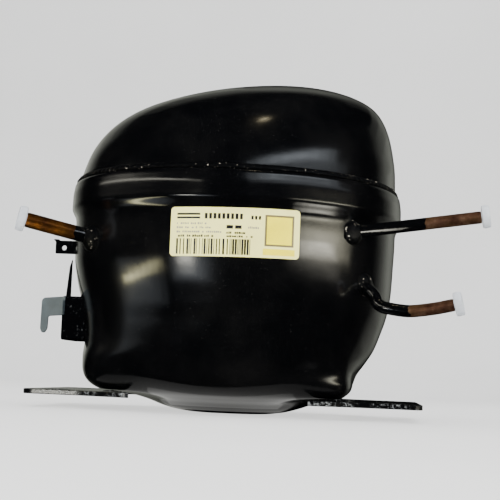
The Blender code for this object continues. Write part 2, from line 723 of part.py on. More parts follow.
def build_head(plate_look, head_look, bolt_look, reed_look):
    plate_low = CYLINDER_END + 0.9
    plate_high = plate_low + 3.0
    head_low = plate_high + GAP
    head_high = head_low + HEAD_THICKNESS
    bottom = CYLINDER_Z - FLANGE_HALF_Z
    top = CYLINDER_Z + FLANGE_HALF_Z
    plate = box("valve_plate", (-FLANGE_HALF_X, plate_low, bottom), (FLANGE_HALF_X, plate_high, top), plate_look)
    head = box("cylinder_head", (-FLANGE_HALF_X, head_low, bottom), (FLANGE_HALF_X, head_high, top), head_look, 1.5)
    for name, low, high in (("suction_chamber", -13.0, -1.5), ("discharge_chamber", 1.5, 13.0)):
        cut(head, box(name, (low, head_low - 3.0, bottom + 4.0), (high, head_low + CHAMBER_DEPTH, top - 4.0), None))
    for name, x, radius in (("suction_port", -5.0, 2.6), ("discharge_port", 6.5, 2.0)):
        cut(plate, cylinder(name, (x, plate_low - 2.0, 123.5), radius, 8.0, (0, 1, 0), None, 16))
    for number, (x, z) in enumerate(head_bolt_points(), start=1):
        tool = cylinder(f"head_hole_{number}", (x, CYLINDER_END, z), 2.3, 30.0, (0, 1, 0), None, 12)
        cut(plate, tool)
        cut(head, tool)
        bolt = cylinder(f"head_bolt_{number}", (x, head_high + GAP, z), BOLT_HEAD_RADIUS, BOLT_HEAD_HEIGHT,
                        (0, 1, 0), bolt_look, 6)
        shank = cylinder(f"head_bolt_{number}_shank", (x, BOLT_START, z), 2.0, BOLT_SHANK_LENGTH, (0, 1, 0), None, 12)
        join(bolt, shank)
    box("suction_reed", (-8.0, CYLINDER_END + 0.3, 114.2), (-2.0, CYLINDER_END + 0.6, 127.4), reed_look,
        origin=(0.0, CYLINDER_END + 0.45, 114.4))
    box("discharge_reed", (3.5, head_low, 112.6), (9.5, head_low + 0.3, 127.4), reed_look,
        origin=(0.0, head_low + 0.15, 112.8))


def build_mufflers(plastic, steel):
    suction = box("suction_muffler", (-54.0, 26.0, DECK_TOP + 0.4), (-27.0, 54.0, 132.0), plastic, 3.0)
    neck = box("suction_neck", (-38.0, 50.0, 115.0), (-FLANGE_HALF_X - GAP, 67.0, 125.0), None)
    join(suction, neck)
    profile = [(12.0, 0.4), (13.0, 1.6), (13.0, 19.0), (9.0, 23.5), (3.0, 24.6)]
    lathe("discharge_muffler", profile, (38.0, 36.0, DECK_TOP), (0, 0, 1), steel, 24)


def build_discharge_line(copper):
    """The shock loop that leads the compressed gas to the shell without carrying vibration."""
    start = Vector(DISCHARGE_ROUTE[0])
    heading = (Vector(DISCHARGE_ROUTE[1]) - start).normalized()
    route = [
        (53.6, 36.0, 119.0), (58.0, 43.0, 115.0), (53.0, 57.0, 106.0), (42.0, 66.5, 96.0), (49.0, 61.5, 87.0),
        (60.0, 46.0, 80.0), (64.0, 15.0, 75.0), (61.0, -14.0, 72.0), start - heading * 8.0, start - heading * 0.5,
    ]
    return tube("discharge_line", smooth_path(route, 3), 2.4, 0.7, 7, copper)


def build_motor_leads(look):
    """The plug on the terminal's inner ends and the leads up to the windings."""
    leads = rod("motor_leads", smooth_path(
        [(-64.0, 0.0, 47.0), (-60.0, 0.0, 56.0), (-58.0, 0.0, 72.0), (-55.5, 0.0, 88.0), (-45.9, 0.0, 90.5)], 4),
        2.0, 8, look)
    plug = box("lead_plug", (-69.6, -9.0, 38.0), (-62.0, 9.0, 54.0), None)
    join(leads, plug)


def build_crank(shaft_look, rotor_look, weight_look, pickup_look):
    shaft = cylinder("crankshaft", (0, 0, SHAFT_BOTTOM), SHAFT_RADIUS, SHAFT_LENGTH, (0, 0, 1), shaft_look, 32)
    reach = CRANK_THROW
    web_outline = []
    for k in range(MOTOR_SEGMENTS + 1):
        angle = math.pi / 2.0 + math.pi * k / MOTOR_SEGMENTS
        web_outline.append((10.0 * math.cos(angle), 10.0 * math.sin(angle)))
    for k in range(MOTOR_SEGMENTS + 1):
        angle = -math.pi / 2.0 + math.pi * k / MOTOR_SEGMENTS
        web_outline.append((reach + 9.0 * math.cos(angle), 9.0 * math.sin(angle)))
    web = prism("crank_web", web_outline[::2], upright, WEB_BOTTOM, WEB_TOP, None)
    pin = cylinder("crank_pin", (reach, 0, CRANK_PIN_BOTTOM), CRANK_PIN_RADIUS, PIN_TOP - CRANK_PIN_BOTTOM,
                   (0, 0, 1), None, 32)
    join(shaft, web, pin)
    bore = SHAFT_RADIUS + GAP
    rotor = [(bore, ROTOR_BOTTOM), (bore, ROTOR_TOP), (ROTOR_RADIUS - 1.0, ROTOR_TOP), (ROTOR_RADIUS, ROTOR_TOP - 2.0),
             (ROTOR_RADIUS, ROTOR_BOTTOM + 2.0), (ROTOR_RADIUS - 1.0, ROTOR_BOTTOM)]
    lathe("rotor", rotor, (0, 0, 0), (0, 0, 1), rotor_look, MOTOR_SEGMENTS, closed=True)
    sector = []
    for k in range(17):
        angle = math.radians(100.0 + 160.0 * k / 16)
        sector.append((COUNTERWEIGHT_RADIUS * math.cos(angle), COUNTERWEIGHT_RADIUS * math.sin(angle)))
    for k in range(17):
        angle = math.radians(260.0 - 160.0 * k / 16)
        sector.append((10.6 * math.cos(angle), 10.6 * math.sin(angle)))
    prism("counterweight", sector, upright, WEB_BOTTOM, WEB_TOP, weight_look)
    pickup = [(6.6, 39.7), (8.0, 39.7), (8.0, 31.0), (4.2, 10.0), (2.9, 10.0), (6.6, 31.0)]
    lathe("oil_pickup", pickup, (0, 0, 0), (0, 0, 1), pickup_look, 20, closed=True)


YOKE_HALF_Z = 8.0
YOKE_SLOT_X = 20.5
YOKE_SLOT_Y = 10.2
YOKE_OUTER_X = 24.5
YOKE_OUTER_Y = 15.0
BLOCK_HALF_X = 11.0
BLOCK_HALF_Y = 10.0
BLOCK_HALF_Z = 7.6
CRANK_PIN_BORE = 7.15
NOZZLE_OFFSET = CRANK_THROW / 2.0
NOZZLE_RADIUS = 2.2


def build_yoke(yoke_look, block_look, nozzle_look):
    middle = CYLINDER_Z
    yoke = box("piston_yoke", (-YOKE_OUTER_X, -YOKE_OUTER_Y, middle - YOKE_HALF_Z),
               (YOKE_OUTER_X, YOKE_OUTER_Y, middle + YOKE_HALF_Z), yoke_look)
    slot = box("yoke_slot", (-YOKE_SLOT_X, -YOKE_SLOT_Y, middle - 20.0), (YOKE_SLOT_X, YOKE_SLOT_Y, middle + 20.0), None)
    cut(yoke, slot)
    stem = cylinder("yoke_stem", (0, YOKE_OUTER_Y - 2.0, middle), 5.0, 20.0, (0, 1, 0), None, 20)
    piston = lathe("yoke_piston", [(PISTON_RADIUS - 0.5, 30.6), (PISTON_RADIUS, 31.1), (PISTON_RADIUS, PISTON_CROWN)],
                   (0, 0, middle), (0, 1, 0), None, 32)
    join(yoke, stem, piston)
    slide = box("slide_block", (CRANK_THROW - BLOCK_HALF_X, -BLOCK_HALF_Y, middle - BLOCK_HALF_Z),
                (CRANK_THROW + BLOCK_HALF_X, BLOCK_HALF_Y, middle + BLOCK_HALF_Z), block_look,
                origin=(CRANK_THROW, 0.0, middle))
    cut(slide, cylinder("slide_bore", (CRANK_THROW, 0, middle - 15.0), CRANK_PIN_BORE, 30.0, (0, 0, 1), None, 32))
    nozzle = [(NOZZLE_RADIUS, GAP), (NOZZLE_RADIUS, 2.0), (1.2, 2.6), (0.9, 4.2)]
    lathe("oil_nozzle", nozzle, (NOZZLE_OFFSET, 0, PIN_TOP), (0, 0, 1), nozzle_look, 16,
          origin=(NOZZLE_OFFSET, 0.0, PIN_TOP))


def main():
    clear_scene()
    paint = material("black_paint", (0.012, 0.012, 0.013), 0.18, 0.0)
    weld = material("painted_weld", (0.015, 0.015, 0.016), 0.3, 0.0)
    copper = material("copper", (0.42, 0.19, 0.11), 0.42, 1.0)
    plastic = material("milky_plastic", (0.80, 0.82, 0.82), 0.45, 0.0)
    label = material("label_paper", (0.82, 0.79, 0.67), 0.6, 0.0)
    plated = material("plated_steel", (0.45, 0.46, 0.47), 0.35, 1.0)
    spring = material("spring_steel", (0.30, 0.30, 0.31), 0.35, 1.0)
    cast = material("cast_iron", (0.22, 0.22, 0.22), 0.6, 1.0)
    lamination = material("lamination_steel", (0.28, 0.29, 0.31), 0.5, 1.0)
    enamel = material("enamelled_wire", (0.50, 0.20, 0.09), 0.4, 0.6)
    aluminium = material("aluminium", (0.62, 0.63, 0.64), 0.4, 1.0)
    resin = material("muffler_resin", (0.72, 0.70, 0.62), 0.5, 0.0)
    insulation = material("lead_insulation", (0.62, 0.10, 0.08), 0.5, 0.0)

    lower = build_lower_shell(paint)
    build_upper_shell(paint)
    build_seam_weld(weld)
    trimmer = shell_envelope("shell_envelope", GAP)
    build_mounting_plate("mounting_plate_left", -1.0, paint)
    build_mounting_plate("mounting_plate_right", 1.0, paint)

    suction = straight_path(SUCTION_ENTRY, SUCTION_DIRECTION, SUCTION_REACH, 6)
    build_tube_set("suction", suction, SUCTION_RADIUS, SUCTION_ENTRY, SUCTION_DIRECTION, lower, copper, weld, trimmer)
    build_cap("suction_cap", suction[-1], SUCTION_DIRECTION, SUCTION_RADIUS, 6.3, 4.0, plastic)
    process = straight_path(PROCESS_ENTRY, PROCESS_DIRECTION, PROCESS_REACH, 6)
    build_tube_set("process", process, PROCESS_RADIUS, PROCESS_ENTRY, PROCESS_DIRECTION, lower, copper, weld, trimmer)
    build_cap("process_cap", process[-1], PROCESS_DIRECTION, PROCESS_RADIUS, 5.6, 3.8, plastic)
    discharge = smooth_path(DISCHARGE_ROUTE, 2)
    entry = (discharge[2] + discharge[3]) / 2.0
    entry_axis = (discharge[4] - discharge[2]).normalized()
    build_tube_set("discharge", discharge, DISCHARGE_RADIUS, entry, entry_axis, lower, copper, weld, trimmer)
    discharge_axis = (discharge[-1] - discharge[-2]).normalized()
    build_cap("discharge_cap", discharge[-1], discharge_axis, DISCHARGE_RADIUS, 5.9, 4.0, plastic)

    build_nameplate(label)
    build_terminal(lower, plated, plated, paint, trimmer)
    build_ground_tab(plated, trimmer)

    build_suspension(resin, spring, resin, plated)
    build_stator(lamination, enamel)
    build_cylinder_block(cast)
    build_head(plated, aluminium, plated, spring)
    build_mufflers(resin, plated)
    build_discharge_line(copper)
    build_motor_leads(insulation)
    build_crank(cast, lamination, cast, plated)
    build_yoke(cast, cast, aluminium)


main()
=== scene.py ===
"""Looks of a hermetic compressor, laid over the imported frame.

Remade here in finer meshes: the two shells, their seam, the tubes, welds, caps, nameplate, plates, fence,
ground tab and suspension springs. The other nodes keep their shape and get a procedural material.
Lengths are in millimetres, turned into metres by MM, except in the stage, lights, camera and materials.
"""
import json
import math

import bmesh
import bpy
import numpy as np
from mathutils import Matrix, Vector, noise


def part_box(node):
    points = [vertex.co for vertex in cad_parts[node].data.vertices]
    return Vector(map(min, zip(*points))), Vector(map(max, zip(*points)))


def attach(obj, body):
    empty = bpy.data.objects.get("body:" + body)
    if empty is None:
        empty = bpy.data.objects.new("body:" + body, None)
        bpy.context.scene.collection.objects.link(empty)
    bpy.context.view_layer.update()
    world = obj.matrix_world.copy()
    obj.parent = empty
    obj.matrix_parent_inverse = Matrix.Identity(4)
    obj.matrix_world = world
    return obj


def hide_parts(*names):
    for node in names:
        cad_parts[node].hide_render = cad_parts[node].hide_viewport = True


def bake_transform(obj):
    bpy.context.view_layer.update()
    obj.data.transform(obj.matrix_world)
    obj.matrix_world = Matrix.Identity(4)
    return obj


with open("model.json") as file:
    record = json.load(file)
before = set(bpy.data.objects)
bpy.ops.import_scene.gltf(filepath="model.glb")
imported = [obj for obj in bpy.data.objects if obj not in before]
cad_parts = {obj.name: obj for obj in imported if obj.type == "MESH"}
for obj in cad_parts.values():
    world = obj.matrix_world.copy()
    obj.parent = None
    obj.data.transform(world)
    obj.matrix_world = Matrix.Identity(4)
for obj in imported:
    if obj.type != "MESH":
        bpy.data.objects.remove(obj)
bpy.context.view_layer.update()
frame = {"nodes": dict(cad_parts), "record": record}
RECORD = frame["record"]

MM = 0.001
SHELL_POWER = 2.1         # how square the shells are from above; 2 would be an ellipse
DEPTH_RATIO = 1.0898      # depth of the lower shell over its width
SKIRT_HALF = 83.6         # half width of the dome's straight skirt
SKIRT_DEPTH = 91.2        # half depth of the skirt
SKIRT_LOW = 102.2         # lower edge of the skirt
FOOT_ANGLE = math.radians(37.57)
FOOT_SPREAD = math.radians(15.0)
WALL = 3.0
AROUND = 224              # points round the shells

BLACK = (0.0011, 0.0012, 0.0015)
DUST = (0.0060, 0.0058, 0.0055)
SPRING_GREY = (0.26, 0.26, 0.27)
EVEN = (1.0, 1.0, 1.0)    # a grain without direction

# dark, middle and light tones of each copper, and its heat tint
BROWN_COPPER = ((0.020, 0.006, 0.001), (0.066, 0.020, 0.002), (0.20, 0.066, 0.010), (0.085, 0.036, 0.004))
TAN_COPPER = ((0.060, 0.024, 0.014), (0.16, 0.078, 0.046), (0.34, 0.20, 0.125), (0.15, 0.085, 0.030))


def turns(count):
    """Equally spaced angles of one full turn."""
    return [2.0 * math.pi * k / count for k in range(count)]


# ------------------------------------------------------------ node materials

def new_material(name):
    made = bpy.data.materials.new(name)
    made.use_nodes = True
    tree = made.node_tree
    shader = tree.nodes["Principled BSDF"]
    return made, tree, shader


def coordinates(tree):
    return tree.nodes.new("ShaderNodeTexCoord").outputs["Object"]


def noise_at(tree, scale, detail=4.0, roughness=0.55, stretch=None):
    """Object-space noise; stretch squeezes it along one or more axes."""
    source = coordinates(tree)
    if stretch is not None:
        mapping = tree.nodes.new("ShaderNodeMapping")
        mapping.inputs["Scale"].default_value = stretch
        tree.links.new(source, mapping.inputs["Vector"])
        source = mapping.outputs["Vector"]
    made = tree.nodes.new("ShaderNodeTexNoise")
    made.inputs["Scale"].default_value = scale
    made.inputs["Detail"].default_value = detail
    made.inputs["Roughness"].default_value = roughness
    tree.links.new(source, made.inputs["Vector"])
    return made.outputs["Fac"]


def ramp(tree, value, stops):
    """A colour ramp over a value; stops are (position, grey or colour)."""
    made = tree.nodes.new("ShaderNodeValToRGB")
    elements = made.color_ramp.elements
    while len(elements) < len(stops):
        elements.new(0.5)
    for element, (position, colour) in zip(elements, stops):
        element.position = position
        if not hasattr(colour, "__len__"):
            colour = (colour, colour, colour)
        element.color = (*colour, 1.0)
    tree.links.new(value, made.inputs["Fac"])
    return made.outputs["Color"]


def arithmetic(tree, operation, first, second, third=None):
    made = tree.nodes.new("ShaderNodeMath")
    made.operation = operation
    for k, item in enumerate((first, second, third)):
        if item is None:
            continue
        if isinstance(item, (int, float)):
            made.inputs[k].default_value = item
        else:
            tree.links.new(item, made.inputs[k])
    return made.outputs["Value"]


def mix_colour(tree, factor, first, second, blend="MIX"):
    made = tree.nodes.new("ShaderNodeMix")
    made.data_type = "RGBA"
    made.blend_type = blend
    for socket, item in ((made.inputs["Factor"], factor), (made.inputs[6], first), (made.inputs[7], second)):
        if isinstance(item, (int, float)):
            socket.default_value = item
        elif isinstance(item, tuple):
            socket.default_value = (*item, 1.0)
        else:
            tree.links.new(item, socket)
    return made.outputs[2]


def bump(tree, height, distance, strength=1.0, below=None):
    made = tree.nodes.new("ShaderNodeBump")
    made.inputs["Distance"].default_value = distance
    made.inputs["Strength"].default_value = strength
    tree.links.new(height, made.inputs["Height"])
    if below is not None:
        tree.links.new(below, made.inputs["Normal"])
    return made.outputs["Normal"]


def along(tree, origin, direction):
    """Distance from a point along a direction, in metres."""
    step = tree.nodes.new("ShaderNodeVectorMath")
    step.operation = "SUBTRACT"
    tree.links.new(coordinates(tree), step.inputs[0])
    step.inputs[1].default_value = tuple(origin)
    dot = tree.nodes.new("ShaderNodeVectorMath")
    dot.operation = "DOT_PRODUCT"
    tree.links.new(step.outputs["Vector"], dot.inputs[0])
    dot.inputs[1].default_value = tuple(direction)
    return dot.outputs["Value"]


def wander(tree, value, spread, low):
    """A number that follows a value: low where that is 0, low plus spread where it is 1."""
    return arithmetic(tree, "MULTIPLY_ADD", value, spread, low)


def connect(tree, shader, colour, roughness, normal):
    for socket, source in (("Base Color", colour), ("Roughness", roughness), ("Normal", normal)):
        tree.links.new(source, shader.inputs[socket])


def black_enamel(name):
    """Thick gloss black paint with orange peel, a little dust, smudges and fine pits."""
    made, tree, shader = new_material(name)
    clean_roughness = 0.11
    peel = 0.30
    dust = ramp(tree, noise_at(tree, 38.0, 5.0), [(0.42, 0.0), (0.78, 0.55)])
    specks = ramp(tree, noise_at(tree, 1500.0, 1.0), [(0.72, 0.0), (0.80, 0.35)])
    colour = mix_colour(tree, specks, mix_colour(tree, dust, BLACK, DUST), (0.06, 0.058, 0.055))
    smears = noise_at(tree, 24.0, 6.0, 0.65)
    smudge = ramp(tree, smears, [(0.35, clean_roughness), (0.75, clean_roughness + 0.13)])
    shader.inputs["Specular IOR Level"].default_value = 0.26
    wave = bump(tree, noise_at(tree, 95.0, 1.5, 0.4), 0.00030 * peel, 0.55)
    skin_bump = bump(tree, noise_at(tree, 520.0, 2.0, 0.5), 0.00006 * peel, 0.5, wave)
    connect(tree, shader, colour, smudge, skin_bump)
    return made


def rough_black(name):
    """Dull paint over coarse weld metal, with a few bright specks painted into the colour as glints on the
    spatter.
    """
    made, tree, shader = new_material(name)
    grain = noise_at(tree, 420.0, 6.0, 0.65)
    # The bright specks, kept to patches, are painted glints of weld spatter, not a colour of the metal.
    painted_spatter_glint = ramp(tree, noise_at(tree, 760.0, 2.0), [(0.66, 0.0), (0.71, 1.0)])
    patches = ramp(tree, noise_at(tree, 46.0, 2.0), [(0.47, 0.0), (0.56, 1.0)])
    specks = arithmetic(tree, "MULTIPLY", painted_spatter_glint, patches)
    colour = mix_colour(tree, specks, BLACK, (0.34, 0.31, 0.25))
    dull = ramp(tree, grain, [(0.3, 0.42), (0.8, 0.62)])
    shader.inputs["Specular IOR Level"].default_value = 0.06
    connect(tree, shader, colour, dull, bump(tree, grain, 0.0004, 0.8))
    return made


def worn_black(name, wear_low=0.52, wear_high=0.60, shine=0.5):
    """Black plate whose cut edges, which stand upright, show bare grey steel in small chips."""
    made, tree, shader = new_material(name)
    geometry = tree.nodes.new("ShaderNodeNewGeometry")
    split = tree.nodes.new("ShaderNodeSeparateXYZ")
    tree.links.new(geometry.outputs["True Normal"], split.inputs["Vector"])
    edge = arithmetic(tree, "SUBTRACT", 1.0, arithmetic(tree, "ABSOLUTE", split.outputs["Z"], 0.0))
    chips = ramp(tree, noise_at(tree, 620.0, 5.0, 0.7), [(wear_low, 0.0), (wear_high, 1.0)])
    big = ramp(tree, noise_at(tree, 120.0, 3.0), [(0.40, 0.0), (0.62, 1.0)])
    amount = arithmetic(tree, "MULTIPLY", arithmetic(tree, "MULTIPLY", chips, big), edge)
    amount = arithmetic(tree, "MULTIPLY", amount, 0.8)
    colour = mix_colour(tree, amount, BLACK, (0.26, 0.27, 0.27))
    shader.inputs["Specular IOR Level"].default_value = shine
    dents = bump(tree, noise_at(tree, 260.0, 3.0), 0.0002, 0.5)
    connect(tree, shader, colour, wander(tree, noise_at(tree, 60.0), 0.25, 0.12), dents)
    return made


def copper_tube(name, origin, direction, painted, tones):
    """Oxidised copper in blotches, with black paint up to a painted length from the origin."""
    made, tree, shader = new_material(name)
    cloud = noise_at(tree, 170.0, 5.0, 0.6)
    dark, middle, light, heat = tones
    copper = ramp(tree, cloud, [(0.30, dark), (0.52, middle), (0.74, light)])
    tarnish = ramp(tree, noise_at(tree, 95.0, 3.0), [(0.40, 0.0), (0.66, 0.7)])
    copper = mix_colour(tree, tarnish, copper, heat)
    stain = ramp(tree, noise_at(tree, 420.0, 4.0), [(0.50, 0.0), (0.72, 0.6)])
    copper = mix_colour(tree, stain, copper, dark)
    ragged = wander(tree, noise_at(tree, 330.0, 3.0), 0.006, painted - 0.003)
    bare = arithmetic(tree, "GREATER_THAN", along(tree, origin, direction), ragged)
    tree.links.new(arithmetic(tree, "MULTIPLY", bare, 0.85), shader.inputs["Metallic"])
    mixed = tree.nodes.new("ShaderNodeMix")
    tree.links.new(bare, mixed.inputs["Factor"])
    tree.links.new(wander(tree, cloud, 0.18, 0.06), mixed.inputs[2])
    tree.links.new(wander(tree, cloud, 0.30, 0.26), mixed.inputs[3])
    step = bump(tree, bare, 0.00025, 0.5)
    step.node.invert = True
    pitted = bump(tree, noise_at(tree, 700.0, 4.0), 0.00012, 0.7, step)
    connect(tree, shader, mix_colour(tree, bare, BLACK, copper), mixed.outputs[0], pitted)
    return made


def milky_plastic(name):
    """Soft cap plastic that lets a little light through."""
    made, tree, shader = new_material(name)
    tint = ramp(tree, noise_at(tree, 90.0, 3.0), [(0.35, (0.46, 0.48, 0.50)), (0.70, (0.58, 0.60, 0.63))])
    shader.inputs["Subsurface Weight"].default_value = 0.45
    shader.inputs["Subsurface Radius"].default_value = (0.004, 0.004, 0.004)
    shader.inputs["Subsurface Scale"].default_value = 0.6
    shader.inputs["Transmission Weight"].default_value = 0.12
    ripple = bump(tree, noise_at(tree, 420.0, 2.0), 0.00015, 0.35)
    connect(tree, shader, tint, wander(tree, noise_at(tree, 240.0), 0.2, 0.26), ripple)
    return made


def paper(name, colour):
    """Printed film: faint blotches, uneven gloss and slight waves."""
    made, tree, shader = new_material(name)
    low = tuple(c * 0.90 for c in colour)
    high = tuple(min(c * 1.05, 1.0) for c in colour)
    blotch = ramp(tree, noise_at(tree, 70.0, 5.0), [(0.35, low), (0.7, high)])
    waves = bump(tree, noise_at(tree, 110.0, 2.0), 0.00015, 0.4)
    connect(tree, shader, blotch, wander(tree, noise_at(tree, 150.0), 0.2, 0.25), waves)
    return made


def machined(name, colour, metallic, rough, grain=(1.0, 1.0, 12.0), scale=90.0, spread=0.25):
    """Metal or resin with directional grain, blotches and uneven gloss."""
    made, tree, shader = new_material(name)
    low = tuple(c * (1.0 - spread) for c in colour)
    high = tuple(min(c * (1.0 + spread), 1.0) for c in colour)
    blotch = ramp(tree, noise_at(tree, scale, 5.0), [(0.32, low), (0.70, high)])
    lines = noise_at(tree, scale * 5.0, 3.0, 0.6, grain)
    streaks = ramp(tree, lines, [(0.3, low), (0.7, high)])
    shader.inputs["Metallic"].default_value = metallic
    connect(tree, shader, mix_colour(tree, 0.25, blotch, streaks), wander(tree, lines, 0.3, rough - 0.15),
            bump(tree, lines, 0.00012, 0.6))
    return made


def laminated(name):
    """Stacked steel sheets: fine level lines."""
    made, tree, shader = new_material(name)
    wave = tree.nodes.new("ShaderNodeTexWave")
    wave.bands_direction = "Z"
    wave.inputs["Scale"].default_value = 320.0
    wave.inputs["Distortion"].default_value = 0.4
    tree.links.new(coordinates(tree), wave.inputs["Vector"])
    lines = wave.outputs["Fac"]
    shader.inputs["Metallic"].default_value = 0.9
    connect(tree, shader, ramp(tree, lines, [(0.2, (0.10, 0.10, 0.11)), (0.8, (0.30, 0.31, 0.33))]),
            wander(tree, noise_at(tree, 120.0), 0.3, 0.3), bump(tree, lines, 0.00015, 0.8))
    return made


def wound(name):
    """Enamelled copper wire laid round the motor."""
    made, tree, shader = new_material(name)
    wave = tree.nodes.new("ShaderNodeTexWave")
    wave.wave_type = "RINGS"
    wave.rings_direction = "Z"
    wave.inputs["Scale"].default_value = 280.0
    wave.inputs["Distortion"].default_value = 1.5
    wave.inputs["Detail"].default_value = 2.0
    tree.links.new(coordinates(tree), wave.inputs["Vector"])
    wires = wave.outputs["Fac"]
    shader.inputs["Metallic"].default_value = 0.5
    connect(tree, shader, ramp(tree, wires, [(0.15, (0.16, 0.05, 0.02)), (0.85, (0.55, 0.22, 0.09))]),
            wander(tree, noise_at(tree, 140.0), 0.25, 0.25), bump(tree, wires, 0.0004, 0.9))
    return made


# ----------------------------------------------------------------- mesh tools

def place_object(name, data):
    made = bpy.data.objects.new(name, data)
    bpy.context.scene.collection.objects.link(made)
    return made


def mesh_piece(name, vertices, faces, look, body="shell", smooth=True, sharp=40.0):
    """A closed mesh from millimetre vertices that rides on a body, if one is named."""
    mesh = bpy.data.meshes.new(name)
    mesh.from_pydata([tuple(c * MM for c in v) for v in vertices], [], faces)
    shape = bmesh.new()
    shape.from_mesh(mesh)
    bmesh.ops.recalc_face_normals(shape, faces=shape.faces)
    shape.to_mesh(mesh)
    shape.free()
    if smooth:
        mesh.shade_smooth()
        mesh.set_sharp_from_angle(angle=math.radians(sharp))
    mesh.materials.append(look)
    made = place_object(name, mesh)
    if body is not None:
        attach(made, body)
    return made


def skin(rings, closed=False):
    """Quads between rings of equal length, with fans over both ends unless closed."""
    count = len(rings[0])
    vertices = [tuple(point) for ring in rings for point in ring]
    faces = []
    pairs = len(rings) if closed else len(rings) - 1
    for level in range(pairs):
        here = level * count
        there = ((level + 1) % len(rings)) * count
        for k in range(count):
            nxt = (k + 1) % count
            faces.append((here + k, here + nxt, there + nxt, there + k))
    if not closed:
        for ring_index, flip in ((0, False), (len(rings) - 1, True)):
            middle = len(vertices)
            ring = rings[ring_index]
            vertices.append(tuple(sum(p[axis] for p in ring) / count for axis in range(3)))
            base = ring_index * count
            for k in range(count):
                pair = (base + k, base + (k + 1) % count)
                faces.append((middle, pair[0], pair[1]) if flip else (middle, pair[1], pair[0]))
    return vertices, faces


def monotone(knots, samples):
    """Smooth samples through rows of (height, half widths, ...), evenly spaced and without overshoot."""
    table = np.array(knots, dtype=float)
    run = np.hypot(np.diff(table[:, 0]), np.diff((table[:, 1] + table[:, 2]) / 2.0))
    position = np.concatenate([[0.0], np.cumsum(np.maximum(run, 1e-6))])
    wanted = np.linspace(0.0, position[-1], samples)
    columns = []
    for column in table.T:
        slope = np.diff(column) / np.diff(position)
        tangent = np.zeros(len(column))
        for k in range(1, len(column) - 1):
            if slope[k - 1] * slope[k] > 0:
                before = position[k] - position[k - 1]
                after = position[k + 1] - position[k]
                weight = (2 * after + before, after + 2 * before)
                tangent[k] = sum(weight) / (weight[0] / slope[k - 1] + weight[1] / slope[k])
        tangent[0] = slope[0]
        tangent[-1] = slope[-1]
        span = np.clip(np.searchsorted(position, wanted, side="right") - 1, 0, len(position) - 2)
        width = position[span + 1] - position[span]
        t = (wanted - position[span]) / width
        low = column[span]
        high = column[span + 1]
        value = (
            low * (1 + 2 * t) * (1 - t) ** 2 + tangent[span] * width * t * (1 - t) ** 2
            + high * t * t * (3 - 2 * t) - tangent[span + 1] * width * t * t * (1 - t)
        )
        columns.append(value)
    return np.array(columns).T


def soften(rows, passes):
    """Averages neighbouring rows, so that gloss flows evenly; the two at the ends stay."""
    result = rows.copy()
    for _ in range(passes):
        moved = result.copy()
        moved[1:-1] = result[1:-1] * 0.5 + (result[:-2] + result[2:]) * 0.25
        result = moved
    return result


def superellipse(minus_x, plus_x, half_y, angle):
    """A point of a shell's outline from above, from its reach to -X and +X and its half depth."""
    centre = (plus_x - minus_x) / 2.0
    half_x = (plus_x + minus_x) / 2.0
    c = math.cos(angle)
    s = math.sin(angle)
    power = 2.0 / SHELL_POWER
    return centre + half_x * math.copysign(abs(c) ** power, c), half_y * math.copysign(abs(s) ** power, s)


def foot_weight(x, y):
    """1 in the middle of each of the four feet, fading to 0 away from it."""
    offset = abs(math.atan2(abs(y), abs(x)) - FOOT_ANGLE) / FOOT_SPREAD
    return math.exp(-offset * offset)


def half_depth(half_x):
    return half_x * DEPTH_RATIO


def lower_ring(level):
    height, minus_x, plus_x, push, foot_height = level
    half_y = half_depth((minus_x + plus_x) / 2.0)
    ring = []
    for angle in turns(AROUND):
        x, y = superellipse(minus_x, plus_x, half_y, angle)
        weight = foot_weight(x, y)
        reach = max(math.hypot(x, y), 1e-6)
        scale = (reach + push * weight) / reach
        ring.append((x * scale, y * scale, height + (foot_height - height) * weight))
    return ring


def dome_ring(level):
    height, minus_x, plus_x, half_y = level
    return [(*superellipse(minus_x, plus_x, half_y, angle), height) for angle in turns(AROUND)]


RIM_TOP = 115.6
RIM_INSIDE = 84.1         # half width inside the rim, round the dome's skirt
RIM_LEDGE = 101.2         # height of the ledge inside the rim
RIM_FOOT = 99.0           # below this height the wall is as thick inside as everywhere else

# Heights of the lower shell's rim and wall, each with its reach to -X and +X.
WALL_LEVELS = [
    (RIM_TOP, 84.9, 84.9),
    (115.1, 85.98, 85.98),
    (112.6, 86.44, 86.44),
    (110.2, 86.86, 86.86),
    (109.6, 86.93, 86.93),
    (109.1, 86.94, 86.94),
    (106.0, 86.99, 86.99),
    (103.7, 87.03, 87.03),
    (103.0, 87.08, 87.08),
    (102.5, 87.12, 87.12),
    (102.0, 87.08, 87.08),
    (101.3, 86.8, 86.8),
    (100.2, 86.2, 86.15),
    (99.0, 85.5, 85.4),
    (98.0, 85.05, 84.85),
    (97.0, 84.82, 84.42),
    (95.8, 84.72, 84.22),
    (94.8, 84.67, 84.15),
    (90.0, 84.6, 84.1),
    (78.0, 84.4, 83.6),
    (66.0, 82.5, 83.0),
    (54.0, 79.5, 81.2),
]
# Further down the feet are pressed outwards: also the push of a foot and the height on it.
BASE_LEVELS = [
    (44.0, 77.6, 78.1, 0.3, 44.0),
    (35.0, 76.9, 74.6, 1.0, 35.0),
    (28.0, 77.3, 70.2, 2.8, 28.0),
    (22.0, 75.6, 66.1, 6.0, 21.5),
    (17.0, 71.8, 64.3, 9.0, 16.5),
    (12.8, 65.4, 60.8, 11.5, 12.4),
    (10.0, 58.9, 56.4, 12.5, 10.2),
    (7.6, 49.9, 49.9, 9.5, 9.9),
    (5.6, 42.9, 42.9, 3.0, 7.6),
    (3.0, 35.4, 35.4, 0.0, 3.0),
    (1.0, 27.4, 27.4, 0.0, 1.0),
    (0.02, 18.0, 18.0, 0.0, 0.02),
    (0.02, 3.0, 3.0, 0.0, 0.02),
]
LOWER_LEVELS = [(height, minus_x, plus_x, 0.0, height) for height, minus_x, plus_x in WALL_LEVELS]
LOWER_LEVELS += BASE_LEVELS
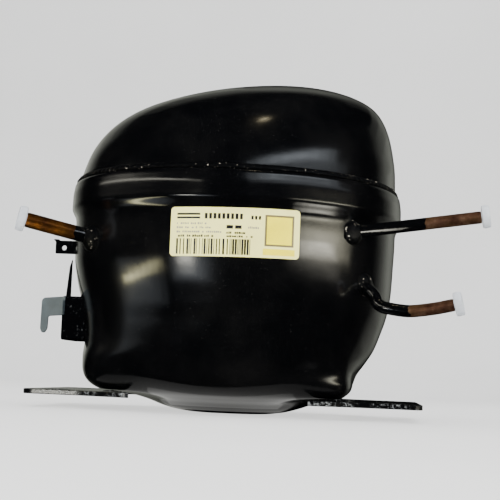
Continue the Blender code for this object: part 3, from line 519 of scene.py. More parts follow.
# Heights of the dome, each with its reach to -X and +X and its half depth.
DOME_LEVELS = [
    (SKIRT_LOW, SKIRT_HALF, SKIRT_HALF, SKIRT_DEPTH),
    (116.2, SKIRT_HALF, SKIRT_HALF, SKIRT_DEPTH),
    (121.2, 82.3, 83.5, 90.3),
    (129.4, 79.7, 83.2, 87.7),
    (136.5, 76.2, 82.2, 84.1),
    (146.6, 67.7, 80.1, 76.9),
    (154.7, 55.9, 77.0, 67.8),
    (160.7, 41.1, 72.8, 57.8),
    (166.2, 22.6, 63.9, 43.1),
    (170.3, 2.1, 50.9, 26.5),
    (172.2, -11.8, 40.5, 13.3),
    (172.85, -21.8, 30.5, 3.8),
]


def inner_levels(levels, distance):
    """Levels of a shell moved inwards, square to its profile."""
    points = np.array([((row[1] + row[2]) / 2.0, row[0]) for row in levels])
    rises = 1.0 if levels[-1][0] > levels[0][0] else -1.0
    moved = []
    for k, row in enumerate(levels):
        run = points[min(k + 1, len(points) - 1)] - points[max(k - 1, 0)]
        run /= np.hypot(*run)
        side = -run[1] * rises * distance
        up = run[0] * rises * distance
        changed = [row[0] + up, row[1] + side, row[2] + side]
        changed += [row[3], row[4] + up] if len(row) == 5 else [row[3] + side]
        moved.append(tuple(changed))
    return moved


def build_shells(look):
    """Both shells: a ring of points at each level, up the inside and back down the outside."""
    outer_rows = soften(monotone(LOWER_LEVELS, 260), 3)
    body_levels = [row for row in LOWER_LEVELS if row[0] < RIM_FOOT]
    rim = [(height, RIM_INSIDE, RIM_INSIDE, 0.0, height) for height in (RIM_TOP, RIM_LEDGE)]
    inner = [lower_ring(row) for row in rim + inner_levels(body_levels, WALL)[::2]]
    rings = inner[::-1] + [lower_ring(row) for row in outer_rows]
    lower = mesh_piece("shell_pot", *skin(rings), look)
    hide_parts("lower_shell")

    crown_rows = soften(monotone(DOME_LEVELS, 220), 12)
    skirt = (SKIRT_LOW, SKIRT_HALF - WALL, SKIRT_HALF - WALL, SKIRT_DEPTH - WALL)
    inner = [dome_ring(row) for row in [skirt] + inner_levels(DOME_LEVELS[1:-1], WALL)]
    rings = inner[::-1] + [dome_ring(row) for row in crown_rows]
    dome = mesh_piece("shell_dome", *skin(rings), look)
    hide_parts("upper_shell")


# Section of the bead: reach from the skirt, height.
SEAM_SECTION = [(0.15, 115.5), (1.3, 115.5), (1.9, 116.1), (1.75, 117.0), (1.0, 117.8), (0.15, 118.3)]
SEAM_AROUND = 640
SEAM_RIPPLES = 150.0
SEAM_CROWN = 116.0        # the bead is uneven in height above this


def build_seam(look):
    """The rippled, lumpy weld bead between rim and dome."""
    rings = []
    for extra, height in SEAM_SECTION:
        ring = []
        for k, angle in enumerate(turns(SEAM_AROUND)):
            wander = noise.noise(Vector((k * 0.11, height, 3.1)))
            ripple = 0.13 * math.sin(angle * SEAM_RIPPLES) + 0.28 * wander
            lump = 0.5 * max(noise.noise(Vector((math.cos(angle) * 6.0, math.sin(angle) * 6.0, 9.0))), 0.0)
            reach = extra * (0.85 + 0.35 * lump) + (ripple if extra > 0.5 else 0.0)
            x, y = superellipse(SKIRT_HALF + reach, SKIRT_HALF + reach, SKIRT_DEPTH + reach, angle)
            ring.append((x, y, height + (0.25 * lump + 0.5 * ripple if height > SEAM_CROWN else 0.0)))
        rings.append(ring)
    seam = mesh_piece("seam_bead", *skin(rings, True), look)
    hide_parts("seam_weld")


def smooth_path(points, per_span):
    """A curve through all the points, with so many steps from each to the next."""
    knots = [Vector(p) for p in points]
    ends = [knots[0] * 2 - knots[1]] + knots + [knots[-1] * 2 - knots[-2]]
    result = []
    for span in range(len(knots) - 1):
        a, b, c, d = ends[span:span + 4]
        for step in range(per_span):
            t = step / per_span
            part = (b * 2) + (c - a) * t + (a * 2 - b * 5 + c * 4 - d) * t * t
            part += (b * 3 - a - c * 3 + d) * t ** 3
            result.append(part * 0.5)
    result.append(knots[-1])
    return result


def path_rings(path, radii, sides):
    """Rings of points round a path, which turn with it and don't twist."""
    rings = []
    side = None
    for k, point in enumerate(path):
        tangent = (path[min(k + 1, len(path) - 1)] - path[max(k - 1, 0)]).normalized()
        if side is None:
            side = tangent.orthogonal().normalized()
        side = (side - tangent * side.dot(tangent)).normalized()
        up = tangent.cross(side)
        spokes = [side * math.cos(angle) + up * math.sin(angle) for angle in turns(sides)]
        rings.append([tuple(point + spoke * radii[k]) for spoke in spokes])
    return rings


TUBE_WALL = 0.8
INSIDE_STUB = 9.0         # length of a straight tube behind the shell's face
# entry: where the axis meets the shell; reach: from there to the far end; route: points of a bent tube;
# painted: how far the black paint goes, in metres, from the entry or, on the bent tube, from X = 0;
# seed: picks the lumps of the brazed collar.
TUBES = {
    "suction": {
        "entry": Vector((-66.3, -59.6, 84.7)), "axis": Vector((-29.8, -10.9, 6.4)).normalized(),
        "reach": 32.4, "steps": 40, "radius": 3.75, "painted": 0.009, "tones": BROWN_COPPER,
        "seed": 1.0, "cap_radius": 6.3, "cap_depth": 4.0,
    },
    "process": {
        "entry": Vector((63.7, -62.1, 90.9)), "axis": Vector((60.0, -4.2, 8.5)).normalized(),
        "reach": 60.7, "steps": 60, "radius": 3.0, "painted": 0.0343, "tones": TAN_COPPER,
        "seed": 4.0, "cap_radius": 5.6, "cap_depth": 3.8,
    },
    "discharge": {
        "route": [
            (62.0, -42.0, 69.0), (67.5, -50.5, 66.5), (71.5, -55.5, 63.6), (74.6, -57.5, 60.2),
            (75.8, -59.0, 57.2), (78.5, -60.5, 55.3), (81.9, -61.5, 54.6), (86.3, -62.0, 54.0),
            (91.2, -62.5, 53.7), (96.9, -63.0, 54.3), (104.1, -64.0, 55.5), (112.0, -65.0, 57.3),
        ],
        "radius": 3.05, "painted": 0.091, "tones": TAN_COPPER,
        "seed": 7.0, "cap_radius": 5.9, "cap_depth": 4.0,
    },
}


def straight_path(tube):
    start = tube["entry"] - tube["axis"] * INSIDE_STUB
    end = tube["entry"] + tube["axis"] * tube["reach"]
    return [start.lerp(end, k / tube["steps"]) for k in range(tube["steps"] + 1)]


def build_tube(name, node_name, path, radius, look):
    """A hollow tube with a slightly uneven wall and a deburred end."""
    outer = [radius - 0.04 + 0.03 * noise.noise(point * 0.35) for point in path]
    outer[-1] -= 0.15
    inner = [value - TUBE_WALL for value in outer]
    rings = path_rings(path, outer, 40) + path_rings(path, inner, 40)[::-1]
    tube = mesh_piece(name, *skin(rings, True), look)
    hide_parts(node_name)


def turned_rings(at, axis, profile, around, shape):
    """Rings round an axis; shape gives the reach and height of a profile point at an angle."""
    turn = Vector((0, 0, 1)).rotation_difference(Vector(axis)).to_matrix()
    rings = []
    for reach, height in profile:
        ring = []
        for angle in turns(around):
            out, up = shape(reach, height, angle)
            spot = Vector((out * math.cos(angle), out * math.sin(angle), up))
            ring.append(tuple(Vector(at) + turn @ spot))
        rings.append(ring)
    return rings


def build_collar(name, node_name, at, axis, radius, look, seed):
    """A lumpy brazed fillet where a tube leaves the shell."""
    profile = [(radius - 0.3, -4.0), (radius + 3.0, -4.0), (radius + 3.2, -1.5), (radius + 2.9, 0.2),
               (radius + 1.9, 1.5), (radius + 0.8, 2.6), (radius + 0.15, 3.2), (radius - 0.3, 3.2)]

    def lumpy(reach, height, angle):
        lump = noise.noise(Vector((math.cos(angle) * 1.6, math.sin(angle) * 1.6, seed + height * 0.2)))
        fine = noise.noise(Vector((math.cos(angle) * 6.0, math.sin(angle) * 6.0, seed + height)))
        grow = (0.55 * lump + 0.22 * fine) if reach > radius + 0.3 else 0.0
        return reach + grow, height + 0.5 * lump

    collar = mesh_piece(name, *skin(turned_rings(at, axis, profile, 72, lumpy), True), look, sharp=80.0)
    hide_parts(node_name)


def build_cap(name, node_name, end, axis, tube_radius, flange, depth, look):
    """A soft plug cap: recessed face, rolled lip, small moulding nib and a push-in stem."""
    gap = 0.3
    plug = tube_radius - TUBE_WALL - 0.35
    profile = [
        (0.0, -7.0), (plug * 0.6, -7.0), (plug * 0.85, -6.6), (plug, -5.6), (plug, gap),
        (flange * 0.86, gap), (flange * 0.95, gap + 0.15), (flange - 0.08, gap + 0.7),
        (flange - 0.05, gap + depth * 0.5), (flange - 0.25, gap + depth - 0.5),
        (flange - 0.55, gap + depth - 0.1), (flange - 1.0, gap + depth), (flange - 1.35, gap + depth - 0.25),
        (flange - 1.6, gap + depth - 0.9), (flange - 1.8, gap + 1.4), (flange - 2.3, gap + 1.15),
        (1.6, gap + 1.15), (1.3, gap + 1.4), (0.8, gap + 1.9), (0.0, gap + 2.0),
    ]

    def fluted(reach, height, angle):
        notch = 0.12 * math.cos(angle * 9.0) if height > gap and reach > flange - 1.2 else 0.0
        return max(reach - abs(notch), 0.01), height

    cap = mesh_piece(name, *skin(turned_rings(end, axis, profile, 72, fluted)), look, body=node_name)
    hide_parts(node_name)


def build_tubes(weld, plastic):
    """Each tube with its brazed collar at the shell and its soft cap at the far end."""
    for stem, tube in TUBES.items():
        if "route" in tube:
            path = smooth_path(tube["route"], 8)
            coarse = smooth_path(tube["route"], 2)
            root = (coarse[2] + coarse[3]) / 2.0
            root_axis = (coarse[4] - coarse[2]).normalized()
            end_axis = (coarse[-1] - coarse[-2]).normalized()
            paint_from = Vector((0.0, 0.0, 0.0))
            paint_along = Vector((1.0, 0.0, 0.0))
        else:
            path = straight_path(tube)
            root = tube["entry"]
            root_axis = end_axis = paint_along = tube["axis"]
            paint_from = root * MM
        radius = tube["radius"]
        copper = copper_tube(f"copper_{stem}", paint_from, paint_along, tube["painted"], tube["tones"])
        build_tube(f"{stem}_pipe", f"{stem}_tube", path, radius, copper)
        build_collar(f"{stem}_fillet", f"{stem}_weld", root, root_axis, radius, weld, tube["seed"])
        build_cap(f"{stem}_plug", f"{stem}_cap", path[-1], end_axis, radius, tube["cap_radius"],
                  tube["cap_depth"], plastic)


# ------------------------------------------------------------------ nameplate

LABEL_X = (-21.5, 38.5)
LABEL_Z = (73.9, 96.8)
LABEL_RISE = 0.8 / 60.0   # the sheet is stuck on a little askew
LABEL_LIFT = 0.45         # from the wall to the back of the film
FILM_THICK = 0.3
INK_LIFT = 0.36           # from the back of the film to the back of an ink
INK_THICK = 0.05
FILM_CORNER = 1.7
MARGIN = 3.0              # from the film's left edge to its marks
STRIPES_END = 37.5        # the striped band reaches to here, and is denser from the next place on
STRIPES_DENSE = 27.0
# Lines of small strokes: u, v, length, height, weight.
BLACK_LINES = [(26.5, 10.6, 9.0, 1.0, 0.8), (25.5, 9.0, 12.5, 0.9, 0.8), (MARGIN, 8.9, 17.0, 1.1, 0.7)]
GREY_LINES = [
    (MARGIN, 14.8, 15.0, 0.9, 0.7), (MARGIN, 12.9, 15.5, 0.9, 0.7), (MARGIN, 10.9, 21.0, 0.9, 0.7),
    (36.5, 13.2, 5.5, 1.0, 0.7),
]
# The block at the right end and the band below it: u, v, width, height.
BLOCK_FRAME = (44.2, 5.4, 13.2, 14.6)
BLOCK_FACE = (45.1, 6.3, 11.4, 12.8)
BLOCK_BAND = (43.6, 1.3, 14.4, 2.9)
LOWER_ROWS = monotone(LOWER_LEVELS, 400)[::-1]


def label_place(u, v, lift):
    """A point over the wall, from millimetres on the nameplate: u to the right, v up from its corner."""
    x = LABEL_X[0] + u
    z = LABEL_Z[0] + v + LABEL_RISE * u
    minus_x, plus_x = (float(np.interp(z, LOWER_ROWS[:, 0], LOWER_ROWS[:, k])) for k in (1, 2))
    centre = (plus_x - minus_x) / 2.0
    half_x = (plus_x + minus_x) / 2.0
    reach = (1.0 - (abs(x - centre) / (half_x + lift)) ** SHELL_POWER) ** (1.0 / SHELL_POWER)
    return (x, -(half_depth(half_x) + lift) * reach, z)


def label_sheet(outline_rows, lift, thick):
    """A thin curved sheet from rows of (list of u, v)."""
    top = [[label_place(u, v, lift + thick) for u in row] for row, v in outline_rows]
    bottom = [[label_place(u, v, lift) for u in row] for row, v in outline_rows]
    count = len(top[0])
    vertices = [p for row in top for p in row] + [p for row in bottom for p in row]
    base = len(top) * count
    faces = []
    for r in range(len(top) - 1):
        for c in range(count - 1):
            a = r * count + c
            faces.append((a, a + 1, a + count + 1, a + count))
            faces.append((base + a, base + a + count, base + a + count + 1, base + a + 1))
    edge = list(range(count))
    edge += [r * count + count - 1 for r in range(1, len(top))]
    edge += [(len(top) - 1) * count + c for c in range(count - 2, -1, -1)]
    edge += [r * count for r in range(len(top) - 2, 0, -1)]
    for k, a in enumerate(edge):
        b = edge[(k + 1) % len(edge)]
        faces.append((a, b, base + b, base + a))
    return vertices, faces


def rounded_rows(width, height, radius, rows, columns):
    """Rows of a rectangle with rounded corners, closer together at its upper and lower edges."""
    result = []
    for r in range(rows + 1):
        share = r / rows
        v = height * (0.5 - 0.5 * math.cos(math.pi * share))
        near = min(v, height - v)
        inset = 0.0
        if near < radius:
            inset = radius - math.sqrt(max(radius * radius - (radius - near) ** 2, 0.0))
        result.append(([inset + (width - 2 * inset) * c / columns for c in range(columns + 1)], v))
    return result


class Ink:
    """Collects the flat marks of one ink, then makes them one thin piece."""

    def __init__(self):
        self.vertices = []
        self.faces = []

    def bar(self, u, v, width, height, columns=1):
        across = [u + width * c / columns for c in range(columns + 1)]
        rows = [(across, v + height * r) for r in (0, 1)]
        vertices, faces = label_sheet(rows, LABEL_LIFT + INK_LIFT, INK_THICK)
        start = len(self.vertices)
        self.vertices += vertices
        self.faces += [tuple(k + start for k in face) for face in faces]

    def finish(self, name, look):
        made = mesh_piece(name, self.vertices, self.faces, look, smooth=False)


def text_line(ink, generator, u, v, width, height, weight):
    """Small separate strokes with uneven gaps that read as a printed line from afar."""
    place = u
    while place < u + width:
        stroke = generator.uniform(0.5, 1.3) * weight
        if generator.uniform() > 0.18:
            ink.bar(place, v + generator.uniform(0.0, 0.08), stroke, height * generator.uniform(0.7, 1.0))
        place += stroke + generator.uniform(0.22, 0.5) * weight


def build_nameplate():
    """The film with its generic marks: bars, lines of small strokes and a plain framed block."""
    width = LABEL_X[1] - LABEL_X[0]
    height = LABEL_Z[1] - LABEL_Z[0]
    film = label_sheet(rounded_rows(width, height, FILM_CORNER, 24, 60), LABEL_LIFT, FILM_THICK)
    plate = mesh_piece("nameplate_film", *film, paper("label_film", (0.98, 0.91, 0.30)))
    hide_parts("nameplate")

    generator = np.random.default_rng(7)
    black = Ink()
    for v in (17.5, 19.2):
        black.bar(MARGIN, v, 11.0, 0.9, 6)
    for k in range(9):
        black.bar(16.2 + k * 2.05, 17.5, 1.25, 2.6)
    for k in range(3):
        black.bar(37.8 + k * 1.7, 17.6, 1.0, 1.7)
    place = MARGIN
    while place < STRIPES_END:
        stroke = float(generator.choice([0.28, 0.28, 0.55, 0.9]))
        black.bar(place, 1.0, stroke, 7.2)
        gaps = [0.35, 0.5, 0.8, 1.1] if place < STRIPES_DENSE else [0.3, 0.35]
        place += stroke + float(generator.choice(gaps))
    for line in BLACK_LINES:
        text_line(black, generator, *line)
    for u in (26.5, 30.5):
        black.bar(u, 13.0, 3.0, 1.6)
    black.finish("nameplate_ink", paper("ink_black", (0.006, 0.006, 0.006)))

    grey = Ink()
    for line in GREY_LINES:
        text_line(grey, generator, *line)
    grey.finish("nameplate_grey", paper("ink_grey", (0.30, 0.28, 0.22)))

    brown = Ink()
    brown.bar(*BLOCK_FRAME, 8)
    yellow = Ink()
    yellow.bar(*BLOCK_FACE, 8)
    yellow.vertices = [(x, y - INK_THICK, z) for x, y, z in yellow.vertices]    # in front of its frame
    yellow.bar(*BLOCK_BAND, 8)
    brown.finish("nameplate_brown", paper("ink_brown", (0.15, 0.12, 0.05)))
    yellow.finish("nameplate_yellow", paper("ink_yellow", (0.95, 0.80, 0.0)))


# --------------------------------------------------- plates, fence and ground tab

PLATE_OUTLINE = [
    (99.5, -50.0), (99.5, 50.0), (70.0, 50.0), (42.0, 59.0), (48.0, 48.0), (63.0, 31.0), (66.0, 0.0),
    (63.0, -31.0), (48.0, -48.0), (42.0, -59.0), (70.0, -50.0),
]
PLATE_Z = (6.5, 9.0)
HOLE_CENTRE = (85.0, 35.0)
HOLE_RADIUS = 8.0


def rounded(outline, radius, steps):
    """An outline with its corners rounded, as far as its sides allow."""
    result = []
    count = len(outline)
    for k in range(count):
        corner = Vector(outline[k])
        before = Vector(outline[k - 1]) - corner
        after = Vector(outline[(k + 1) % count]) - corner
        reach = min(radius, before.length * 0.45, after.length * 0.45)
        start = corner + before.normalized() * reach
        end = corner + after.normalized() * reach
        for step in range(steps + 1):
            t = step / steps
            point = start * (1 - t) ** 2 + corner * 2 * t * (1 - t) + end * t ** 2
            result.append((point.x, point.y))
    return result


def flat_sheet(name, loops, to_point, low, high, look, bevel):
    """A sheet on the shell: the first loop is its edge, the rest are holes, and a bevel softens it."""
    shape = bmesh.new()
    edges = []
    for loop in loops:
        verts = [shape.verts.new(Vector(to_point(u, v, low)) * MM) for u, v in loop]
        edges += [shape.edges.new((verts[k], verts[(k + 1) % len(verts)])) for k in range(len(verts))]
    bmesh.ops.triangle_fill(shape, use_beauty=True, use_dissolve=True, edges=edges)
    made = bmesh.ops.extrude_face_region(shape, geom=shape.faces[:])
    rise = (Vector(to_point(0, 0, high)) - Vector(to_point(0, 0, low))) * MM
    moved = [item for item in made["geom"] if isinstance(item, bmesh.types.BMVert)]
    bmesh.ops.translate(shape, verts=moved, vec=rise)
    bmesh.ops.recalc_face_normals(shape, faces=shape.faces)
    mesh = bpy.data.meshes.new(name)
    shape.to_mesh(mesh)
    shape.free()
    mesh.materials.append(look)
    made = place_object(name, mesh)
    edge = made.modifiers.new("bevel", "BEVEL")
    edge.width = bevel * MM
    edge.segments = 2
    edge.limit_method = "ANGLE"
    edge.angle_limit = math.radians(50.0)
    mesh.shade_smooth()
    mesh.set_sharp_from_angle(angle=math.radians(30.0))
    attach(made, "shell")
    return made


def circle_loop(u, v, radius, count):
    return [(u + radius * math.cos(angle), v + radius * math.sin(angle)) for angle in turns(count)]


def facing_x(u, v, w):
    return (w, u, v)


def facing_y(u, v, w):
    return (u, w, v)


def facing_z(u, v, w):
    return (u, v, w)


def build_plates(look):
    for side, place in ((-1.0, "left"), (1.0, "right")):
        outline = [(x * side, y) for x, y in rounded(PLATE_OUTLINE, 6.0, 6)]
        centres = [(side * HOLE_CENTRE[0], sign * HOLE_CENTRE[1]) for sign in (-1.0, 1.0)]
        holes = [circle_loop(*centre, HOLE_RADIUS, 48) for centre in centres]
        made = flat_sheet(f"plate_{place}", [outline] + holes, facing_z, *PLATE_Z, look, 0.35)
        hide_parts(f"mounting_plate_{place}")


FENCE_X = (-88.6, -76.0)  # open end and the end at the shell
FENCE_HALF = 19.0
FENCE_Z = (34.5, 57.6)
SHEET = 1.5
SIDE_Y = (-FENCE_HALF, SHEET - FENCE_HALF)
HOOK_OUTLINE = [
    (-87.0, 57.3), (-98.5, 56.2), (-99.7, 54.9), (-99.9, 40.0), (-99.0, 37.9), (-97.3, 37.8),
    (-96.0, 40.0), (-95.8, 46.6), (-87.0, 47.4),
]
BLADE_OUTLINE = [(-87.0, 56.5), (-85.7, 72.8), (-84.5, 76.9), (-84.5, 56.5)]
TAB_OUTLINE = [
    (-95.4, 80.2), (-95.4, 86.6), (-96.9, 87.9), (-93.8, 87.9), (-93.2, 87.2), (-81.0, 87.2),
    (-81.0, 80.2),
]
TAB_Y = (-13.2, -12.0)
TAB_HOLE = (-90.7, 83.4, 1.3)


def build_fence(look, hook_sheen_look):
    """The bent sheet round the terminal, its blade towards the ground tab and its hook for a clip."""
    low, high = FENCE_Z
    outline = [(-FENCE_HALF, low), (FENCE_HALF, low), (FENCE_HALF, high), (-FENCE_HALF, high)]
    inside = [(y - math.copysign(SHEET, y), z + (SHEET if z == low else -SHEET)) for y, z in outline]
    loops = [rounded(outline, 2.5, 5), rounded(inside, 1.2, 5)]
    box = flat_sheet("fence_box", loops, facing_x, *FENCE_X, look, 0.25)
    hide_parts("terminal_fence")
    for name, shape, radius, side_look in (
        ("fence_hook", HOOK_OUTLINE, 0.9, hook_sheen_look),
        ("fence_blade", BLADE_OUTLINE, 0.7, look),
    ):
        made = flat_sheet(name, [rounded(shape, radius, 4)], facing_y, *SIDE_Y, side_look, 0.25)


def build_ground_tab(look):
    loops = [rounded(TAB_OUTLINE, 0.6, 3), circle_loop(*TAB_HOLE, 28)]
    made = flat_sheet("ground_lug", loops, facing_y, *TAB_Y, look, 0.2)
    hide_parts("ground_tab")


# ------------------------------------------------- stage, lights and camera, in metres

STAGE_HALF = 1.2
STAGE_FRONT = -0.8
STAGE_SPLIT = 0.0         # where the table's two parts meet
STAGE_BEND = 0.9          # where the table starts to curve up
BEND_RADIUS = 0.5
STAGE_TOP = 0.68


def build_stage():
    """A pale table that curves up into a plain wall; it isn't seen in reflections."""
    made, tree, shader = new_material("stage_pale")
    pale = ramp(tree, noise_at(tree, 3.0, 4.0), [(0.3, (0.68, 0.68, 0.67)), (0.7, (0.73, 0.73, 0.72))])
    tree.links.new(pale, shader.inputs["Base Color"])
    shader.inputs["Roughness"].default_value = 0.85
    shader.inputs["Specular IOR Level"].default_value = 0.15
    bend = [(STAGE_BEND + BEND_RADIUS * math.sin(a), BEND_RADIUS - BEND_RADIUS * math.cos(a))
            for a in np.linspace(0.0, math.pi / 2, 15)]
    parts = {
        "stage_front": [(STAGE_FRONT, 0.0), (STAGE_SPLIT, 0.0)],
        "stage_back": [(STAGE_SPLIT, 0.0)] + bend + [(STAGE_BEND + BEND_RADIUS, STAGE_TOP)],
    }
    for name, profile in parts.items():
        mesh = bpy.data.meshes.new(name)
        vertices = [(x, y, z) for y, z in profile for x in (-STAGE_HALF, STAGE_HALF)]
        faces = [(2 * k, 2 * k + 1, 2 * k + 3, 2 * k + 2) for k in range(len(profile) - 1)]
        mesh.from_pydata(vertices, [], faces)
        mesh.shade_smooth()
        mesh.materials.append(made)
        stage = place_object(name, mesh)
        stage.visible_glossy = False


def area_light(name, at, target, width, height, power, colour=(1.0, 1.0, 1.0), mirrored=False):
    """A soft panel. A mirrored one only shows in glossy surfaces, any other only lights matt ones."""
    data = bpy.data.lights.new(name, "AREA")
    data.shape = "RECTANGLE"
    data.size = width
    data.size_y = height
    data.energy = power
    data.color = colour
    made = place_object(name, data)
    made.location = at
    direction = Vector(target) - Vector(at)
    made.rotation_euler = direction.to_track_quat("-Z", "Y").to_euler()
    made.visible_camera = False
    made.visible_glossy = mirrored
    made.visible_diffuse = not mirrored
    data.use_shadow = mirrored


def soft_panel(name, at, target, width, height, glow, colour, steps=4):
    """A mirrored panel that fades towards its rim, made of panels of shrinking size."""
    toward = (Vector(target) - Vector(at)).normalized()
    for k in range(steps):
        share = 1.0 - k / steps
        area = width * height * share * share
        area_light(f"{name}_{k}", Vector(at) + toward * (0.002 * k), target, width * share, height * share,
                   glow / steps * math.pi * area, colour, True)


AIM_HEIGHT = 0.08
COOL = (0.86, 0.93, 1.0)
CREAM = (1.0, 0.97, 0.84)
BUTTER = (1.0, 0.96, 0.74)
STRAW = (1.0, 0.93, 0.52)
AMBER = (1.0, 0.86, 0.55)
OLIVE = (0.97, 1.0, 0.88)
PEARL = (1.0, 1.0, 0.97)

# Panels round the object: azimuth, elevation, distance, width, height, glow, colour.
FAR_PANELS = {
    "label_core": (-24.0, -7.5, 0.79, 0.17, 0.07, 55.0, CREAM),
    "label_haze": (-21.0, -11.0, 0.80, 0.36, 0.22, 6.0, COOL),
    "left_strip": (-58.0, 20.0, 1.00, 1.70, 0.10, 16.0, CREAM),
    "right_low": (62.0, 0.0, 0.70, 0.55, 0.13, 5.0, CREAM),
    "right_up": (66.0, 3.5, 0.69, 0.66, 0.07, 22.0, BUTTER),
    "right_strip": (50.0, 22.0, 1.00, 1.50, 0.16, 3.0, COOL),
    "right_haze": (46.0, 31.5, 1.00, 1.20, 0.18, 9.5, COOL),
    "left_edge": (-150.0, 8.0, 1.00, 0.75, 1.10, 0.8, OLIVE),
    "right_edge": (146.0, 6.0, 1.00, 0.72, 1.00, 0.65, OLIVE),
    "top_back": (180.0, 40.0, 1.20, 1.20, 0.60, 0.30, OLIVE),
    "lamp": (27.0, 74.0, 1.30, 0.10, 0.05, 60.0, AMBER),
}
# Small ones close to the shell, each for one highlight: place, aim, width, height, glow, colour.
NEAR_PANELS = {
    "left_low": ((-0.0983, -0.109, 0.0435), (-0.050, -0.068, 0.058), 0.080, 0.045, 2.6, COOL),
    "rim_right": ((0.071, -0.087, 0.080), (0.055, -0.067, 0.099), 0.042, 0.012, 19.0, CREAM),
}
# A row of small ones, dimmer towards the last, for the long highlight at the left.
STREAK_FIRST = Vector((-0.1058, -0.0928, 0.0477))
STREAK_LAST = Vector((-0.0860, -0.1414, 0.0556))
STREAK_AIM = (-0.048, -0.068, 0.065)
STREAK_COUNT = 6
STREAK_GLOW = 26.0
STREAK_FADE = 3.2


def polar(azimuth, distance, elevation):
    """A place seen from a point over the origin: azimuth 0 is in front (-Y), positive to the right (+X)."""
    turn = math.radians(azimuth)
    rise = math.radians(elevation)
    flat = distance * math.cos(rise)
    return (flat * math.sin(turn), -flat * math.cos(turn), AIM_HEIGHT + distance * math.sin(rise))


def build_world():
    world = bpy.data.worlds.new("room")
    world.use_nodes = True
    background = world.node_tree.nodes["Background"]
    background.inputs["Color"].default_value = (0.97, 0.98, 1.0, 1.0)
    background.inputs["Strength"].default_value = 1.0
    world.cycles_visibility.glossy = False
    bpy.context.scene.world = world


def build_lights():
    build_world()
    area_light("ceiling", (0.0, 0.2, 1.5), (0.0, 0.35, 0.0), 1.8, 1.4, 39.0)
    area_light("front_fill", (0.1, -1.1, 0.5), (0.0, 0.0, 0.05), 0.9, 0.4, 17.0)
    for name, (azimuth, elevation, distance, *panel) in FAR_PANELS.items():
        soft_panel(name, polar(azimuth, distance, elevation), (0.0, 0.0, AIM_HEIGHT), *panel)
    for name, panel in NEAR_PANELS.items():
        soft_panel(name, *panel)
    for k in range(STREAK_COUNT):
        at = STREAK_FIRST.lerp(STREAK_LAST, k / (STREAK_COUNT - 1))
        soft_panel(f"left_streak_{k}", at, STREAK_AIM, 0.018, 0.011, STREAK_GLOW - STREAK_FADE * k, STRAW, 3)
    soft_panel("under_belly", (0.0, -0.040, 0.0015), (0.0, -0.040, 1.0), 0.15, 0.05, 0.7, PEARL, 2)


CAMERA_DISTANCE = 0.675
CAMERA_AZIMUTH = math.radians(6.2)
CAMERA_HEIGHT = 0.0205
CAMERA_YAW = math.radians(0.62)     # how far right of the crankshaft axis the lens points
CAMERA_PITCH = math.radians(5.61)
CAMERA_ROLL = math.radians(2.41)
CAMERA_LENS = 91.1


def build_camera():
    data = bpy.data.cameras.new("camera")
    data.lens = CAMERA_LENS
    data.sensor_width = 36.0
    data.clip_start = 0.01
    made = place_object("camera", data)
    place = Vector((CAMERA_DISTANCE * math.sin(CAMERA_AZIMUTH), -CAMERA_DISTANCE * math.cos(CAMERA_AZIMUTH),
                    CAMERA_HEIGHT))
    heading = math.pi / 2.0 + CAMERA_AZIMUTH - CAMERA_YAW
    level = math.cos(CAMERA_PITCH)
    forward = Vector((math.cos(heading) * level, math.sin(heading) * level, math.sin(CAMERA_PITCH)))
    turn = forward.to_track_quat("-Z", "Y").to_matrix() @ Matrix.Rotation(CAMERA_ROLL, 3, "Z")
    made.matrix_world = Matrix.Translation(place) @ turn.to_4x4()
    bpy.context.scene.camera = made


# ------------------------------------------------------------- springs and inner nodes

SPRING_WIRE = 0.9
SPRING_TURNS = 4.5
SPRING_STEPS = 28         # points to a turn


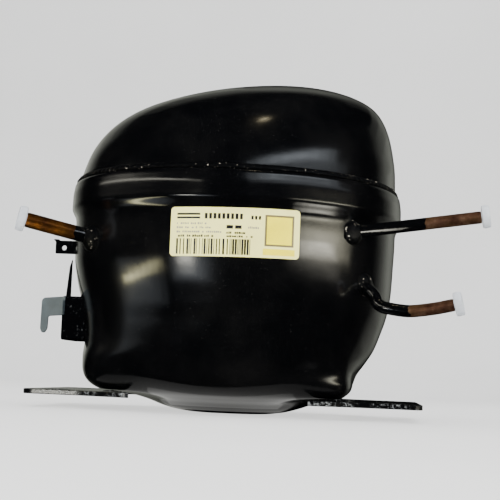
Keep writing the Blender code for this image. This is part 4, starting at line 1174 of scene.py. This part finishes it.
def build_springs(look):
    """Coil springs that stand on the pot and reach up to the sprung motor and pump, each in the box of its
    CAD spring.
    """
    steps = int(SPRING_TURNS * SPRING_STEPS)
    for number in range(1, 5):
        name = f"suspension_spring_{number}"
        low, high = (Vector(corner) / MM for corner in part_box(name))
        middle = (low + high) / 2.0
        reach = (high.y - low.y) / 2.0 - SPRING_WIRE
        path = []
        for k in range(steps + 1):
            angle = 2.0 * math.pi * SPRING_TURNS * k / steps
            height = low.z + SPRING_WIRE + (high.z - low.z - 2.0 * SPRING_WIRE) * k / steps
            spot = (middle.x + reach * math.cos(angle), middle.y + reach * math.sin(angle), height)
            path.append(Vector(spot))
        rings = path_rings(path, [SPRING_WIRE] * len(path), 12)
        made = mesh_piece(f"coil_{number}", *skin(rings), look, body=None)
        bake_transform(made)
        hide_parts(name)


def dress_inner_nodes():
    """Procedural materials for the CAD nodes that stay as they are, most of them sealed in the shell."""
    looks = {
        "cast_iron": machined("iron_machined", (0.20, 0.20, 0.21), 0.85, 0.45),
        "lamination_steel": laminated("steel_sheets"),
        "enamelled_wire": wound("copper_windings"),
        "aluminium": machined("aluminium_cast", (0.60, 0.61, 0.62), 0.95, 0.42),
        "muffler_resin": machined("resin_moulded", (0.66, 0.63, 0.54), 0.0, 0.5, EVEN, 70.0, 0.12),
        "plated_steel": machined("steel_plated", (0.46, 0.47, 0.47), 0.95, 0.36),
        "spring_steel": machined("steel_spring", SPRING_GREY, 0.95, 0.34),
        "copper": machined("copper_line", (0.52, 0.25, 0.15), 0.95, 0.36),
        "lead_insulation": machined("lead_sleeve", (0.48, 0.05, 0.04), 0.0, 0.5, EVEN, 120.0, 0.2),
    }
    slots = {row["node"]: row["material_slot"] for row in RECORD["subparts"]}
    for name, made in frame["nodes"].items():
        look = looks.get(slots.get(name))
        if look is None:
            continue
        made.data.materials.clear()
        made.data.materials.append(look)


def main():
    enamel = black_enamel("enamel_black")
    weld = rough_black("weld_black")
    worn = worn_black("plate_black")
    sheet = worn_black("fence_black", 0.60, 0.68, 0.0)
    plastic = milky_plastic("plastic_milky")
    # The hook's bluish grey, lighter than the black fence, is a painted reflection on its black paint, not
    # plating.
    hook = machined("hook_painted_sheen", (0.050, 0.066, 0.074), 0.0, 0.55, EVEN, 60.0, 0.4)

    build_camera()
    build_stage()
    build_lights()
    build_shells(enamel)
    build_seam(weld)
    build_tubes(weld, plastic)
    build_nameplate()
    build_plates(worn)
    build_fence(sheet, hook)
    build_ground_tab(sheet)
    build_springs(machined("steel_coils", SPRING_GREY, 0.95, 0.34))
    dress_inner_nodes()


main()
